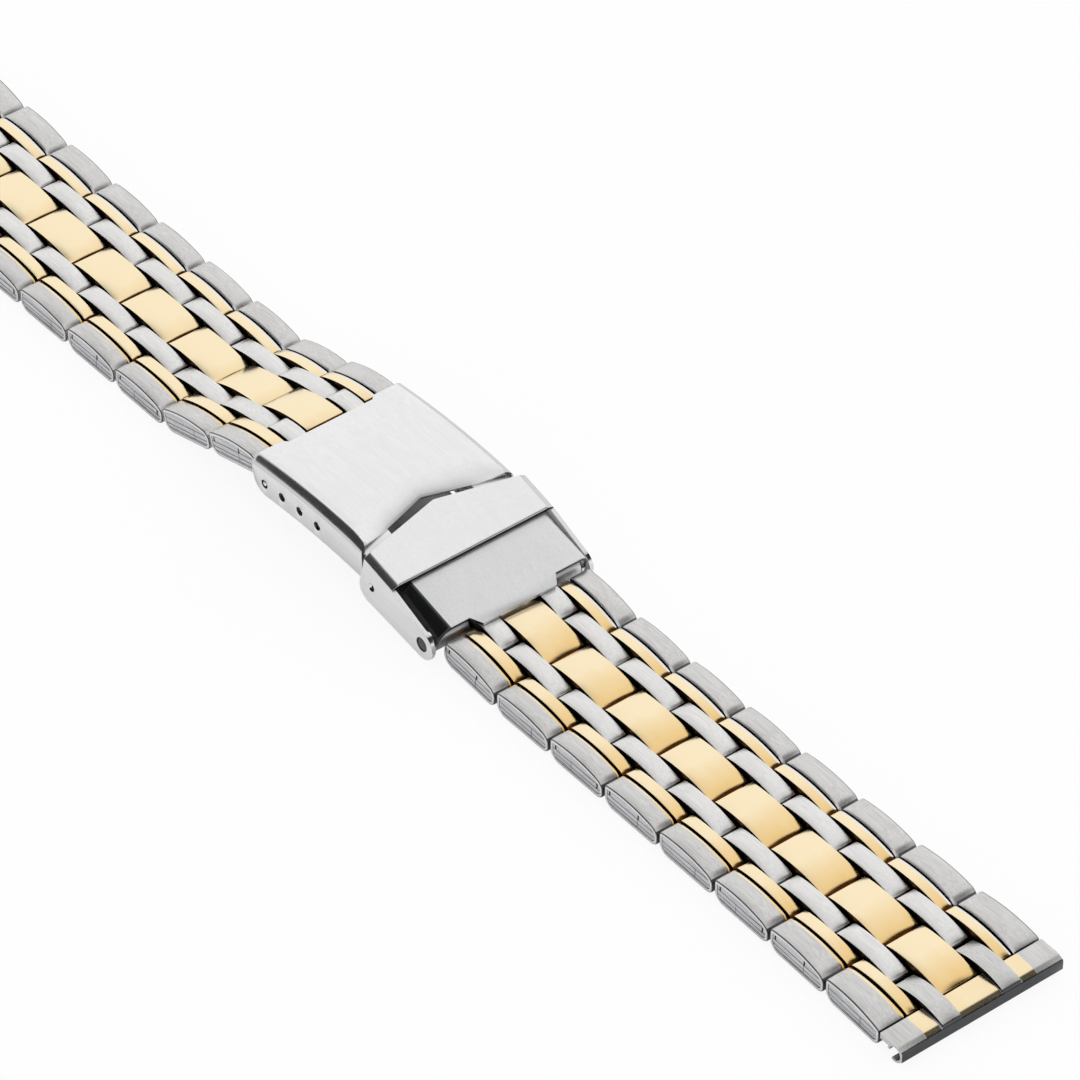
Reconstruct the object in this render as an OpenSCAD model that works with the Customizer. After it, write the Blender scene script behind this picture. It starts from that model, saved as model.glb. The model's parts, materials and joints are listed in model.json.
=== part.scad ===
// Two-tone folded-link watch bracelet with a fold-over clasp and a safety catch, in millimetres.
// X runs along the bracelet from the long side to the short side, Y across it, Z up from the table.
// It lies as it does on a table: both sides are flat and the closed clasp stands up between them.

/* [Bracelet] */
// Width of the end piece that fits between the lugs of the watch
lug_w = 20; // [19.6:0.1:22]
// Width of the rows next to the clasp
clasp_w = 18.1; // [17.7:0.1:18.1]
// Distance from one outer link to the next
pitch = 8.35; // [8.2:0.05:8.8]
// Gap between two links of the same column
row_gap = 0.35; // [0.3:0.05:0.5]
// Gap beside the narrow steel links
col_gap = 0.3; // [0.2:0.05:0.35]
// Gap between an outer link and the thin gold link
thin_gap = 0.18; // [0.1:0.02:0.24]
// Width of the gold centre link
centre_w = 4.55; // [4.2:0.05:4.6]
// Width of a narrow steel link
bridge_w = 2.25; // [2.0:0.05:2.3]
// Width of a thin gold link
thin_w = 1.4; // [1.2:0.05:1.45]

/* [Link section] */
// Thickness of a link in the middle
link_t = 2.7; // [2.6:0.05:3.0]
// Thickness of a link at its ends
link_end_t = 2.0; // [1.9:0.05:2.2]
// Radius under the ends of a link
low_r = 0.8; // [0.6:0.05:0.9]
// Radius over the ends of a link
end_r = 0.45; // [0.3:0.05:0.5]
// Height of the pins above the underside
pin_h = 1.3; // [1.2:0.05:1.4]
// Diameter of a link pin
pin_d = 1.0; // [0.8:0.05:1.1]
// Metal left outside the end of a link pin
pin_cover = 0.8; // [0.5:0.1:1.2]
// Running clearance of a pin, on the radius
run_gap = 0.05; // [0.02:0.01:0.08]
// Clearance of a pin that turns in nothing, on the radius
still_gap = 0.01; // [0.01:0.01:0.03]
// Distance between the two pins of a half link
half_span = 4.0; // [3.9:0.05:4.4]

/* [End piece] */
// Length of the plated band
band_len = 3.1; // [2.9:0.1:4]
// Height of the band's rear edge over the pins
band_top = 0.78; // [0.7:0.02:0.9]
// Height of the band's front edge over the pins
band_front = 0.45; // [0.4:0.05:0.6]
// Bore for the spring bar of the watch
lug_bore_d = 1.5; // [1.3:0.05:1.5]
// Wall round the spring bar bore
bore_wall = 0.25; // [0.2:0.02:0.3]
// Gap between the band and the last row
band_gap = 0.25; // [0.15:0.05:0.4]

/* [Cover] */
// Length of the clasp cover along its chord
cover_len = 18.0; // [17.8:0.1:22]
// Width of the clasp cover
cover_w = 19.2; // [19.1:0.05:19.3]
// Rise of the cover's arch over its chord
cover_rise = 0.45; // [0.3:0.05:0.6]
// Slope of the cover towards the short side, in degrees
cover_tilt = 0.6; // [0.3:0.1:1.2]
// Height of the cover's side walls
cover_h = 4.0; // [3.8:0.1:4.3]
// Thickness of the cover's top
cover_t = 0.5; // [0.4:0.05:0.6]
// Thickness of the cover's side walls
wall_t = 0.42; // [0.36:0.02:0.44]
// Distance between the adjustment holes
hole_step = 2.9; // [2.6:0.1:3]
// Diameter of an adjustment hole
hole_d = 1.0; // [0.9:0.05:1.1]
// Distance of the first hole from the cover's edge
hole_inset = 2.0; // [1.9:0.1:2.4]
// Depth of the holes under the top of the cover
hole_drop = 2.55; // [2.5:0.05:2.7]
// Depth of the wide V in the cover's edge
vee_depth = 2.8; // [1.6:0.1:2.9]
// Diameter of the spring bar's tube
bar_d = 1.3; // [1.2:0.05:1.4]

/* [Blades] */
// Thickness of the folding blades
blade_t = 0.8; // [0.7:0.05:0.9]
// Width of the inner blade
inner_w = 10; // [9:0.1:10.1]
// Width of one rail of the outer blade
rail_w = 2.0; // [1.6:0.1:2.2]
// Gap between the two blades
rail_gap = 0.3; // [0.2:0.05:0.4]
// Diameter of the hinge knuckles
knuckle_d = 1.8; // [1.7:0.05:2]
// Distance of the blade hinge below the spring bar
fold_drop = 2.5; // [2.45:0.05:2.9]
// Distance of the cover hinge from the spring bar
cover_hinge_x = 13.7; // [13:0.1:14.5]
// Depth of the cover hinge under the spring bar
cover_hinge_drop = 0.7; // [0.6:0.05:0.8]
// Rise of the blades' arch
blade_rise = 1.15; // [1:0.05:1.2]

/* [Safety catch] */
// Width of the safety catch
catch_w = 20.4; // [20.3:0.05:20.6]
// Thickness of the catch's side walls
catch_wall = 0.45; // [0.35:0.05:0.5]
// Thickness of the catch's top plate
catch_t = 0.5; // [0.4:0.05:0.6]
// Slope of the closed catch, in degrees
catch_tilt = 14; // [12:0.5:15]
// Distance of the plate's rear edge from the catch pin
plate_far = 10.06; // [9.8:0.05:11]
// Distance of the plate's front edge from the catch pin
plate_near = 5.44; // [5.2:0.05:6]
// Height of the plate's top over the catch pin
plate_top = 2.95; // [2.9:0.05:3.1]
// Length of the plate's gable
gable = 2.2; // [1.8:0.1:2.4]
// Radius of the arms round the pin
arm_r = 1.7; // [1.5:0.05:1.8]
// Depth of the side walls under the catch pin
arm_drop = 2.4; // [2:0.1:2.6]
// Diameter of the catch pin
catch_pin_d = 1.5; // [1.3:0.05:1.5]
// Gap between the cover and the safety catch
clasp_gap = 1.3; // [0.9:0.05:1.4]
// Thickness of the end cap's sheet
cap_t = 0.4; // [0.3:0.05:0.45]
// Gap between the end cap and the catch round it
cap_gap = 0.22; // [0.15:0.02:0.3]

/* [Hidden] */
// Rows of outer links on the short and on the long side
short_rows = 8;
long_rows = 9;
// Slopes of the half link, the first row and the second bridge on the short side, in degrees
short_half_tilt = -3;
short_row_tilt = -5;
// Slopes of the half link and of the rising rows on the long side, in degrees
long_half_tilt = -6;
rise_tilt = 15.5;
rising_rows = 2;
$fn = 48;
arc_steps = 12;
corner_steps = 4;
pin_r = pin_d/2;
quarter = pitch/4;
half_pitch = pitch/2;
link_over = quarter - row_gap/2;
centre_y = centre_w/2;
bridge_y0 = centre_y + col_gap;
bridge_y1 = bridge_y0 + bridge_w;
thin_y0 = bridge_y1 + col_gap;
thin_y1 = thin_y0 + thin_w;
outer_y0 = thin_y1 + thin_gap;
pin_reach = clasp_w/2 - pin_cover;
end_h = link_end_t - pin_h;
catch_r = catch_pin_d/2;
bar_r = bar_d/2;
knuckle_r = knuckle_d/2;
hinge_pin_r = knuckle_r/2;
// Metal round the eyes on the clasp's two bars, and round the fingers of the inner blade
eye_wall = 0.45;
finger_wall = 0.45;
// Thickness of the cover's hinge ears
ear_t = 0.8;
// Gap at the end of a part that turns between two walls
side_gap = 0.1;
// Half the length of the straight middle of the cover's edges
notch_y = 5.3;
// Height, fall and front radius of the plated band
band_t = 0.7;
band_fall = 0.06;
band_r = 0.3;
past = 1;

// A step of length d at a slope of a degrees, as [x, z]
function step_at(d, a) = [d*cos(a), d*sin(a)];
function turned(p, a) = [p[0]*cos(a) - p[1]*sin(a), p[0]*sin(a) + p[1]*cos(a)];
// Points of an arc, with both ends
function arc(c, r, a0, a1, n) =
    [for (i = [0:n]) c + r*[cos(a0 + (a1 - a0)*i/n), sin(a0 + (a1 - a0)*i/n)]];
// The same arc without its ends
function inner_arc(c, r, a0, a1, n) =
    [for (i = [1:n - 1]) c + r*[cos(a0 + (a1 - a0)*i/n), sin(a0 + (a1 - a0)*i/n)]];

// Side view of a link from x0 to x1, with the pins at height 0
function link_outline(x0, x1) =
    let (c = (x1 - x0)/2, m = (x0 + x1)/2, h = link_t - link_end_t,
         r = (c*c + h*h)/(2*h), zc = link_t - pin_h - r,
         zf = zc + sqrt(pow(r - end_r, 2) - pow(c - end_r, 2)),
         a = atan2(zf - zc, c - end_r))
    concat(arc([x1 - low_r, low_r - pin_h], low_r, -90, 0, corner_steps),
           arc([x1 - end_r, zf], end_r, 0, a, corner_steps),
           inner_arc([m, zc], r, a, 180 - a, arc_steps),
           arc([x0 + end_r, zf], end_r, 180 - a, 180, corner_steps),
           arc([x0 + low_r, low_r - pin_h], low_r, 180, 270, corner_steps));

// Half the width of the bracelet at a share s of one side: it flares towards the lugs
function half_w(s) = clasp_w/2 + (lug_w - clasp_w)/2*pow(s, 4);

// Slopes of a side's rows and bridges, counted from the clasp
function short_tilt(k) = k == 1 ? short_row_tilt : 0;
function long_tilt(k) = k <= rising_rows ? rise_tilt : 0;
function short_bridge_tilt(k) = (short_tilt(k) + short_tilt(k + 1))/2;
function long_bridge_tilt(k) = (long_tilt(k) + long_tilt(k + 1))/2;

// Pin next to the clasp of each row, measured along the side from the clasp, as [x, z]
function short_in(k) = k == 1 ? step_at(half_span, short_half_tilt)
    : short_out(k - 1) + step_at(half_pitch, short_bridge_tilt(k - 1));
function short_out(k) = short_in(k) + step_at(half_pitch, short_tilt(k));
function long_in(k) = k == 1 ? -step_at(half_span, long_half_tilt)
    : long_out(k - 1) - step_at(half_pitch, long_bridge_tilt(k - 1));
function long_out(k) = long_in(k) - step_at(half_pitch, long_tilt(k));

// Heights of the catch pin and of the spring bar, so that the flat rows lie on the table
catch_z = pin_h - short_out(short_rows)[1];
bar_z = pin_h - long_out(long_rows)[1];

// The cover's right edge, the catch's rear edge and the catch pin, from the spring bar
cover_right = turned([cover_len - hole_inset, 0], cover_tilt)[0];
catch_rear = turned([-plate_far, plate_top], -catch_tilt)[0];
clasp_span = cover_right + clasp_gap - catch_rear;
front_x = link_over + band_gap + band_len;
long_reach = clasp_span - long_out(long_rows)[0] + front_x;
short_reach = short_out(short_rows)[0] + front_x;
catch_at = [(long_reach - short_reach)/2, catch_z];
bar_at = [catch_at[0] - clasp_span, bar_z];
fold_at = bar_at + turned([0, -fold_drop], cover_tilt);
cover_hinge_at = bar_at + turned([cover_hinge_x, -cover_hinge_drop], cover_tilt);

// Puts a shape at a point of the side view, sloped by a degrees
module at(p, a) {
    translate([p[0], 0, p[1]])
        rotate([0, -a, 0])
            children();
}

// Extrudes a side view from y0 to y1
module slab(y0, y1) {
    translate([0, y1, 0])
        rotate([90, 0, 0])
            linear_extrude(y1 - y0)
                children();
}

// The same slab on both sides of the middle
module slabs(y0, y1) {
    slab(y0, y1)
        children();
    slab(-y1, -y0)
        children();
}

// A round bar across the bracelet at x, z
module rod(x, z, r, y0, y1) {
    translate([x, y1, z])
        rotate([90, 0, 0])
            cylinder(r = r, h = y1 - y0);
}

// The two bores of a link that sits still on its pins
module still_bores(y0, y1) {
    for (x = [-quarter, quarter])
        rod(x, 0, pin_r + still_gap, y0, y1);
}

// Outer steel link of a row, w0 and w1 being half the bracelet's width at its two ends
module outer_link(w0, w1) {
    wide = max(w0, w1);
    difference() {
        slab(outer_y0, wide)
            polygon(link_outline(-quarter - link_over, quarter + link_over));
        translate([0, 0, -link_t])
            linear_extrude(2*link_t)
                polygon([[-half_pitch, w0], [half_pitch, w1],
                         [half_pitch, wide + past], [-half_pitch, wide + past]]);
        still_bores(outer_y0 - past, pin_reach + still_gap);
    }
}

// Both outer links of a row and the two pins that they hide
module steel_row(w0, w1) {
    color("silver") {
        outer_link(w0, w1);
        mirror([0, 1, 0])
            outer_link(w0, w1);
        for (x = [-quarter, quarter])
            rod(x, 0, pin_r, -pin_reach, pin_reach);
    }
}

// Centre link and the two thin links of a row
module gold_row() {
    color("gold")
        difference() {
            union() {
                slab(-centre_y, centre_y)
                    polygon(link_outline(-quarter - link_over, quarter + link_over));
                slabs(thin_y0, thin_y1)
                    polygon(link_outline(-quarter - link_over, quarter + link_over));
            }
            still_bores(-thin_y1 - past, thin_y1 + past);
        }
}

// The two narrow links that join one row to the next
module bridge() {
    color("lightgray")
        difference() {
            slabs(bridge_y0, bridge_y1)
                polygon(link_outline(-quarter - link_over, quarter + link_over));
            for (x = [-quarter, quarter])
                rod(x, 0, pin_r + run_gap, -bridge_y1 - past, bridge_y1 + past);
        }
}

// The two half links that join the first row to a bar of radius r in the clasp, at x = 0
module half_link(r) {
    eye = r + run_gap + eye_wall;
    color("lightgray")
        difference() {
            slabs(bridge_y0, bridge_y1)
                polygon(link_outline(-eye, half_span + link_over));
            rod(0, 0, r + run_gap, -bridge_y1 - past, bridge_y1 + past);
            rod(half_span, 0, pin_r + run_gap, -bridge_y1 - past, bridge_y1 + past);
        }
}

// The lug bore from the last pin, as [x, z]
lug_bore_at = [front_x - bore_wall - lug_bore_d/2, bore_wall + lug_bore_d/2 - pin_h];

// Side view of the band, with the last pin at the origin
module band_outline() {
    rear = link_over + band_gap;
    under = band_top - band_t;
    face_low = lug_bore_at[1] - lug_bore_d/3;
    polygon(concat([[rear, under], [lug_bore_at[0], under], [lug_bore_at[0], face_low], [front_x, face_low]],
                   arc([front_x - band_r, band_front - band_r], band_r, 0, 80, corner_steps),
                   [[lug_bore_at[0], band_top - band_fall], [rear, band_top]]));
    translate(lug_bore_at)
        circle(r = lug_bore_d/2 + bore_wall);
}

// End piece: plated band, two tongues on the last pin and the hook for the watch's spring bar
module end_piece() {
    color("silver")
        difference() {
            union() {
                slab(-lug_w/2, lug_w/2)
                    band_outline();
                slabs(bridge_y0, bridge_y1)
                    polygon(link_outline(-link_over, front_x - bore_wall/2));
            }
            rod(lug_bore_at[0], lug_bore_at[1], lug_bore_d/2, -lug_w, lug_w);
            rod(0, 0, pin_r + run_gap, -lug_w, lug_w);
            at(lug_bore_at, 0)
                slab(-lug_w, lug_w)
                    polygon([[0, 0], [-lug_bore_d, 0], [-2*lug_bore_d, -lug_bore_d],
                             [-2*lug_bore_d, -2*lug_bore_d], [-lug_bore_d, -2*lug_bore_d]]);
        }
}

// Middle, radius and centre height of the cover's arch, from the spring bar
cover_mid = cover_len/2 - hole_inset;
cover_r = (pow(cover_len/2, 2) + pow(cover_rise, 2))/(2*cover_rise);
cover_z = hole_drop - sqrt(pow(cover_r, 2) - pow(cover_mid, 2));
// Height of the cover's top over the spring bar at a distance x from it
function cover_top(x) = cover_z + sqrt(pow(cover_r, 2) - pow(x - cover_mid, 2));

// A ring of the cover's arch, from depth d0 to depth d1 under its top
module cover_ring(d0, d1) {
    translate([cover_mid, cover_z])
        difference() {
            circle(r = cover_r - d0, $fn = 360);
            circle(r = cover_r - d1, $fn = 360);
        }
}

// The cover's side view, with its lower rear corner rounded
module cover_side() {
    corner = 2.4;
    left = -hole_inset;
    low = hole_drop - cover_h;
    intersection() {
        cover_ring(0, cover_h);
        polygon(concat([[left, cover_top(cover_mid) + past]],
                       arc([left + corner, low + corner], corner, 180, 270, corner_steps*2),
                       [[left + corner, low - past], [cover_len - hole_inset, low - past],
                        [cover_len - hole_inset, cover_top(cover_mid) + past]]));
    }
}

// The V of the cover's right edge, as a cutter seen from above
module vee_cutter(x) {
    translate([0, 0, -cover_h])
        linear_extrude(cover_h*3)
            polygon([[x, -cover_w/2], [x - vee_depth, 0], [x, cover_w/2],
                     [x + cover_w, cover_w], [x + cover_w, -cover_w]]);
}

// Clasp cover, with the spring bar's first hole at the origin
module clasp_cover() {
    right = cover_len - hole_inset;
    inner_y = cover_w/2 - wall_t;
    lip = 0.5;
    notch = 0.5;
    ear_y0 = inner_w/2 + rail_gap + rail_w + rail_gap;
    ear_y1 = ear_y0 + ear_t;
    color("gainsboro")
        at(bar_at, cover_tilt)
            difference() {
                union() {
                    difference() {
                        slab(-cover_w/2, cover_w/2)
                            cover_side();
                        slab(-inner_y, inner_y)
                            intersection() {
                                cover_ring(cover_t, cover_h + past);
                                translate([-cover_len, -cover_h*2])
                                    square([cover_len*3, cover_h*4]);
                            }
                        vee_cutter(right);
                    }
                    difference() {
                        slab(-inner_y, inner_y)
                            intersection() {
                                cover_ring(cover_t, cover_t + wall_t);
                                translate([right - vee_depth - lip, -cover_h])
                                    square([vee_depth + 2*lip, cover_h*2]);
                            }
                        vee_cutter(right + lip);
                        translate([right - vee_depth, -notch_y, -cover_h])
                            cube([cover_w, 2*notch_y, cover_h*3]);
                    }
                    slabs(ear_y0, ear_y1) {
                        translate([cover_hinge_x, -cover_hinge_drop])
                            circle(r = knuckle_r);
                        translate([cover_hinge_x - knuckle_r, -cover_hinge_drop])
                            square([knuckle_d, cover_top(cover_hinge_x) + cover_hinge_drop - cover_t/2]);
                    }
                }
                translate([-hole_inset - past, 0, -cover_h])
                    linear_extrude(cover_h*3)
                        polygon([[0, -notch_y - notch], [past, -notch_y - notch], [past + notch, -notch_y],
                                 [past + notch, notch_y], [past, notch_y + notch], [0, notch_y + notch]]);
                for (i = [0:3])
                    rod(i*hole_step, cover_top(i*hole_step) - hole_drop, hole_d/2, -cover_w, cover_w);
                rod(cover_hinge_x, -cover_hinge_drop, hinge_pin_r + run_gap, -ear_y1 - side_gap,
                    ear_y1 + side_gap);
            }
}

// Spring bar of the adjuster: a tube between two tips in the cover's walls
module adjuster_spring_bar() {
    tube_y = cover_w/2 - wall_t - side_gap;
    color("silver")
        at(bar_at, cover_tilt) {
            rod(0, 0, bar_r, -tube_y, tube_y);
            rod(0, 0, hole_d/2 - still_gap, -cover_w/2, cover_w/2);
        }
}

// Middle line of a blade from p to q, arched by rise, at a share t
function blade_line(p, q, rise, t) = p + (q - p)*t + [0, 4*rise*t*(1 - t)];
// Side view of that blade between two shares
function blade_outline(p, q, rise, t0, t1) =
    concat([for (i = [0:arc_steps]) blade_line(p, q, rise, t0 + (t1 - t0)*i/arc_steps) - [0, blade_t/2]],
           [for (i = [arc_steps:-1:0]) blade_line(p, q, rise, t0 + (t1 - t0)*i/arc_steps) + [0, blade_t/2]]);

// Outer blade: two rails with a knuckle at each end, and its two hinge pins
module outer_blade() {
    y0 = inner_w/2 + rail_gap;
    y1 = y0 + rail_w;
    color("darkgray") {
        difference() {
            slabs(y0, y1) {
                polygon(blade_outline(fold_at, cover_hinge_at, blade_rise/2, 0, 1));
                translate(fold_at)
                    circle(r = knuckle_r);
                translate(cover_hinge_at)
                    circle(r = knuckle_r);
            }
            rod(fold_at[0], fold_at[1], hinge_pin_r + still_gap, -y1 - past, y1 + past);
            rod(cover_hinge_at[0], cover_hinge_at[1], hinge_pin_r + still_gap, -y1 - past, y1 + past);
        }
        rod(fold_at[0], fold_at[1], hinge_pin_r, -y1, y1);
        rod(cover_hinge_at[0], cover_hinge_at[1], hinge_pin_r, -y1 - rail_gap - ear_t, y1 + rail_gap + ear_t);
    }
}

// Inner blade: a strip that ends in fingers round the catch pin
module inner_blade() {
    strip_end = 0.8;
    cross_start = 0.7;
    finger_y0 = bridge_y1 + col_gap;
    finger_y1 = catch_w/2 - catch_wall - cap_gap - cap_t - side_gap;
    finger_r = catch_r + finger_wall;
    color("darkgray")
        difference() {
            union() {
                slab(-inner_w/2, inner_w/2) {
                    polygon(blade_outline(fold_at, catch_at, blade_rise, 0, strip_end));
                    translate(fold_at)
                        circle(r = knuckle_r);
                }
                slab(-finger_y1, finger_y1)
                    polygon(blade_outline(fold_at, catch_at, blade_rise, cross_start, strip_end));
                slab(-centre_y, centre_y)
                    polygon(blade_outline(fold_at, catch_at, blade_rise, cross_start, 1));
                slabs(finger_y0, finger_y1)
                    polygon(blade_outline(fold_at, catch_at, blade_rise, cross_start, 1));
                rod(catch_at[0], catch_at[1], finger_r, -centre_y, centre_y);
                slabs(finger_y0, finger_y1)
                    translate(catch_at)
                        circle(r = finger_r);
            }
            rod(fold_at[0], fold_at[1], hinge_pin_r + run_gap, -inner_w, inner_w);
            rod(catch_at[0], catch_at[1], catch_r + still_gap, -catch_w, catch_w);
        }
}

// End cap of the inner blade: a bent sheet with a tab over the first links
module blade_end_cap() {
    half = catch_w/2 - catch_wall - cap_gap;
    top = plate_top - catch_t - cap_gap/2;
    under_plate = 1.2;
    rear = -plate_near - under_plate;
    front = 1.1;
    tab = 1.25;
    tab_y = 5.4;
    tab_ramp = 0.8;
    eye = catch_r + eye_wall;
    color("lightgray")
        at(catch_at, -catch_tilt)
            difference() {
                union() {
                    translate([rear, -half, top - cap_t])
                        cube([front - rear, 2*half, cap_t]);
                    translate([0, 0, top - cap_t])
                        linear_extrude(cap_t)
                            polygon([[rear, -tab_y], [front, -tab_y], [front + tab, tab_ramp - tab_y],
                                     [front + tab, tab_y - tab_ramp], [front, tab_y], [rear, tab_y]]);
                    slabs(half - cap_t, half) {
                        circle(r = eye);
                        polygon([[eye, 0], [front, top - cap_t/2], [rear, top - cap_t/2], [rear, 0], [0, -eye]]);
                    }
                }
                rod(0, 0, catch_r + still_gap, -catch_w, catch_w);
            }
}

// Safety catch: a plate with a gable, two side walls and two arms round the catch pin
module safety_catch() {
    half = catch_w/2;
    corner = 1.6;
    shoulder = 0.5;
    color("lightgray")
        at(catch_at, -catch_tilt)
            difference() {
                union() {
                    slabs(half - catch_wall, half) {
                        circle(r = arm_r);
                        polygon(concat(arc([corner - plate_far, corner - arm_drop], corner, 180, 270, corner_steps),
                                       [[0, -arm_r], [0, arm_r], [-plate_near, plate_top - shoulder],
                                        [-plate_near, plate_top], [-plate_far, plate_top]]));
                    }
                    translate([0, 0, plate_top - catch_t])
                        linear_extrude(catch_t)
                            polygon([[-plate_near, -half], [-plate_near, half], [-plate_far, half],
                                     [-plate_far - gable, 0], [-plate_far, -half]]);
                }
                rod(0, 0, catch_r + run_gap, -catch_w, catch_w);
            }
}

// Pin of the safety catch
module catch_pin() {
    color("silver")
        rod(catch_at[0], catch_at[1], catch_r, -catch_w/2, catch_w/2);
}

// The row k of the short side, from the catch pin
module short_row(k) {
    at(catch_at + (short_in(k) + short_out(k))/2, short_tilt(k))
        children();
}

// The row k of the long side, from the spring bar, turned so that its outer end points to -X
module long_row(k) {
    at(bar_at + (long_in(k) + long_out(k))/2, long_tilt(k))
        rotate([0, 0, 180])
            children();
}

clasp_cover();
outer_blade();
inner_blade();
blade_end_cap();
safety_catch();
catch_pin();
adjuster_spring_bar();
at(catch_at, short_half_tilt) half_link(catch_r);  // short_half_link
at(bar_at, long_half_tilt) rotate([0, 0, 180]) half_link(bar_r);  // long_half_link
for (k = [1:short_rows])
    short_row(k) steel_row(half_w((k - 1)/short_rows), half_w(k/short_rows));
for (k = [1:short_rows])
    short_row(k) gold_row();
for (k = [1:short_rows - 1])
    at(catch_at + (short_out(k) + short_in(k + 1))/2, short_bridge_tilt(k)) bridge();
for (k = [1:long_rows])
    long_row(k) steel_row(half_w((k - 1)/long_rows), half_w(k/long_rows));
for (k = [1:long_rows])
    long_row(k) gold_row();
for (k = [1:long_rows - 1])
    at(bar_at + (long_out(k) + long_in(k + 1))/2, long_bridge_tilt(k)) bridge();
at(catch_at + short_out(short_rows), 0) end_piece();  // short_end_piece
at(bar_at + long_out(long_rows), 0) rotate([0, 0, 180]) end_piece();  // long_end_piece
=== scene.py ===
# %% [markdown]
# A metal watch bracelet of folded links lies flat on a white table. Its steel links are brushed along their
# length, its gold links are polished, and a fold-over clasp with a safety catch joins its two sides. The
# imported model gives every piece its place. This lesson builds a finer mesh for each piece around it and then
# finishes them all.

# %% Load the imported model
import json
import math
from math import cos, sin, radians, sqrt

import bmesh
import bpy
from mathutils import Matrix, Vector


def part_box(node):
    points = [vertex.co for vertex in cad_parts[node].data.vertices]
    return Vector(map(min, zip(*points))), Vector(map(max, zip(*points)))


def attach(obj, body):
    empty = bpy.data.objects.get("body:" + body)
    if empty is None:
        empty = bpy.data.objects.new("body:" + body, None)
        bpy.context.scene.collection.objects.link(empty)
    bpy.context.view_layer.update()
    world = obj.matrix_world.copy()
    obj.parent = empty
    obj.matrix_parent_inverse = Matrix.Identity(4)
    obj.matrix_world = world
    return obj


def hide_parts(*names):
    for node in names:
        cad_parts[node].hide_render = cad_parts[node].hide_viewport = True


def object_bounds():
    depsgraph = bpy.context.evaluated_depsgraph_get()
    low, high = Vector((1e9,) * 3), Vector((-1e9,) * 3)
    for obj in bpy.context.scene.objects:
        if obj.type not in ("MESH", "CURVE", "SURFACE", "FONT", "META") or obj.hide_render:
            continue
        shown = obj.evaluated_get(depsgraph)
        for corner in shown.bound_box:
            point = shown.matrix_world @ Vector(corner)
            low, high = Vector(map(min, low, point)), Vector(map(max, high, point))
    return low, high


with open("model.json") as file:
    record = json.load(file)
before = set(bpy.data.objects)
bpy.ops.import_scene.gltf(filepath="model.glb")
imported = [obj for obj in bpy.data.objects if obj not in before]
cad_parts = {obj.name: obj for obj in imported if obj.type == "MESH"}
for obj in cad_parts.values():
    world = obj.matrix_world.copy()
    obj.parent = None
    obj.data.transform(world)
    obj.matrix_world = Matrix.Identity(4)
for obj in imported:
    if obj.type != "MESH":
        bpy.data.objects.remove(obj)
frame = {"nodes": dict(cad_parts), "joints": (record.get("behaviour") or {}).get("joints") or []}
cad_box = [list(corner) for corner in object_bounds()]
pins = {joint["name"]: Vector(joint["pos_m"]) for joint in frame["joints"]}

# %% [markdown]
# Links are a few millimetres long, so they are modelled in millimetres round their own middle, where sizes
# are easy to read. The last step of every piece brings it to metres and to its place along the bracelet. A
# link's place follows from its two pins: the middle between them, and the slope of the line that joins them.
# All the links lie the same way round.

# %% Places along the bracelet
MM = 0.001
SIDES = {"short": 8, "long": 9}


def slope_between(first, second):
    """Matrix that puts a link's own millimetres between two pins, its +X end towards the right one."""
    inner, outer = sorted((first, second), key=lambda pin: pin.x)
    along = outer - inner
    turn = Matrix.Rotation(math.atan2(-along.z, along.x), 4, "Y")
    return Matrix.Translation((inner + outer) / 2) @ turn @ Matrix.Scale(MM, 4)


def pin_after(side, row):
    """The pin at the outer end of a row: a bridge hangs on it, or the end piece."""
    name = f"{side}_bridge_{row}_hinge" if row < SIDES[side] else f"{side}_end_piece_hinge"
    return pins[name]


def row_place(side, row):
    return slope_between(pins[f"{side}_row_{row}_hinge"], pin_after(side, row))


def bridge_place(side, row):
    return slope_between(pin_after(side, row), pins[f"{side}_row_{row + 1}_hinge"])


for side, rows in SIDES.items():
    print(side, "rows:", rows, "first row at", row_place(side, 1).translation)

# %% [markdown]
# The camera stands far away behind a long lens, so that the links hardly shrink with distance. Its angles are
# found from the straight edges of the bracelet, and the lens from how much smaller the far end looks.

# %% Camera
AZIMUTH = radians(51.1)
ELEVATION = radians(41.12)
ROLL = radians(0.31)
DISTANCE = 0.7007
AIM = Vector((0.01386, 0.0073, 0.004))
LENS_MM = 234.6
SENSOR_MM = 36

towards = Vector((sin(AZIMUTH) * cos(ELEVATION), -cos(AZIMUTH) * cos(ELEVATION), sin(ELEVATION)))
camera_data = bpy.data.cameras.new("camera")
camera_data.lens = LENS_MM
camera_data.sensor_width = SENSOR_MM
camera_data.clip_end = 10
camera = bpy.data.objects.new("camera", camera_data)
bpy.context.scene.collection.objects.link(camera)
camera.matrix_world = (Matrix.Translation(AIM + towards * DISTANCE)
                       @ towards.to_track_quat("Z", "Y").to_matrix().to_4x4()
                       @ Matrix.Rotation(ROLL, 4, "Z"))
bpy.context.scene.camera = camera
print("camera at", camera.matrix_world.translation)

# %% [markdown]
# Every material is a small network of nodes, so one function adds a node, sets it and links it. Colours are
# written as on the web and turned to the linear values that the renderer works in. All the pieces are metal,
# so every material starts as one and takes its pattern from the piece's own coordinates.

# %% Helpers for materials
def linear(hex_colour):
    """The linear RGBA of an sRGB hex colour."""
    parts = [int(hex_colour[i:i + 2], 16) / 255 for i in (1, 3, 5)]
    return [c / 12.92 if c <= 0.04045 else ((c + 0.055) / 1.055) ** 2.4 for c in parts] + [1]


def add_node(tree, kind, sockets=None, **settings):
    """Adds a node with its settings; a socket takes a value or the output of another node."""
    node = tree.nodes.new(kind)
    for name, value in settings.items():
        setattr(node, name, value)
    for key, value in (sockets or {}).items():
        if isinstance(value, bpy.types.NodeSocket):
            tree.links.new(value, node.inputs[key])
        else:
            node.inputs[key].default_value = value
    return node


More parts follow.
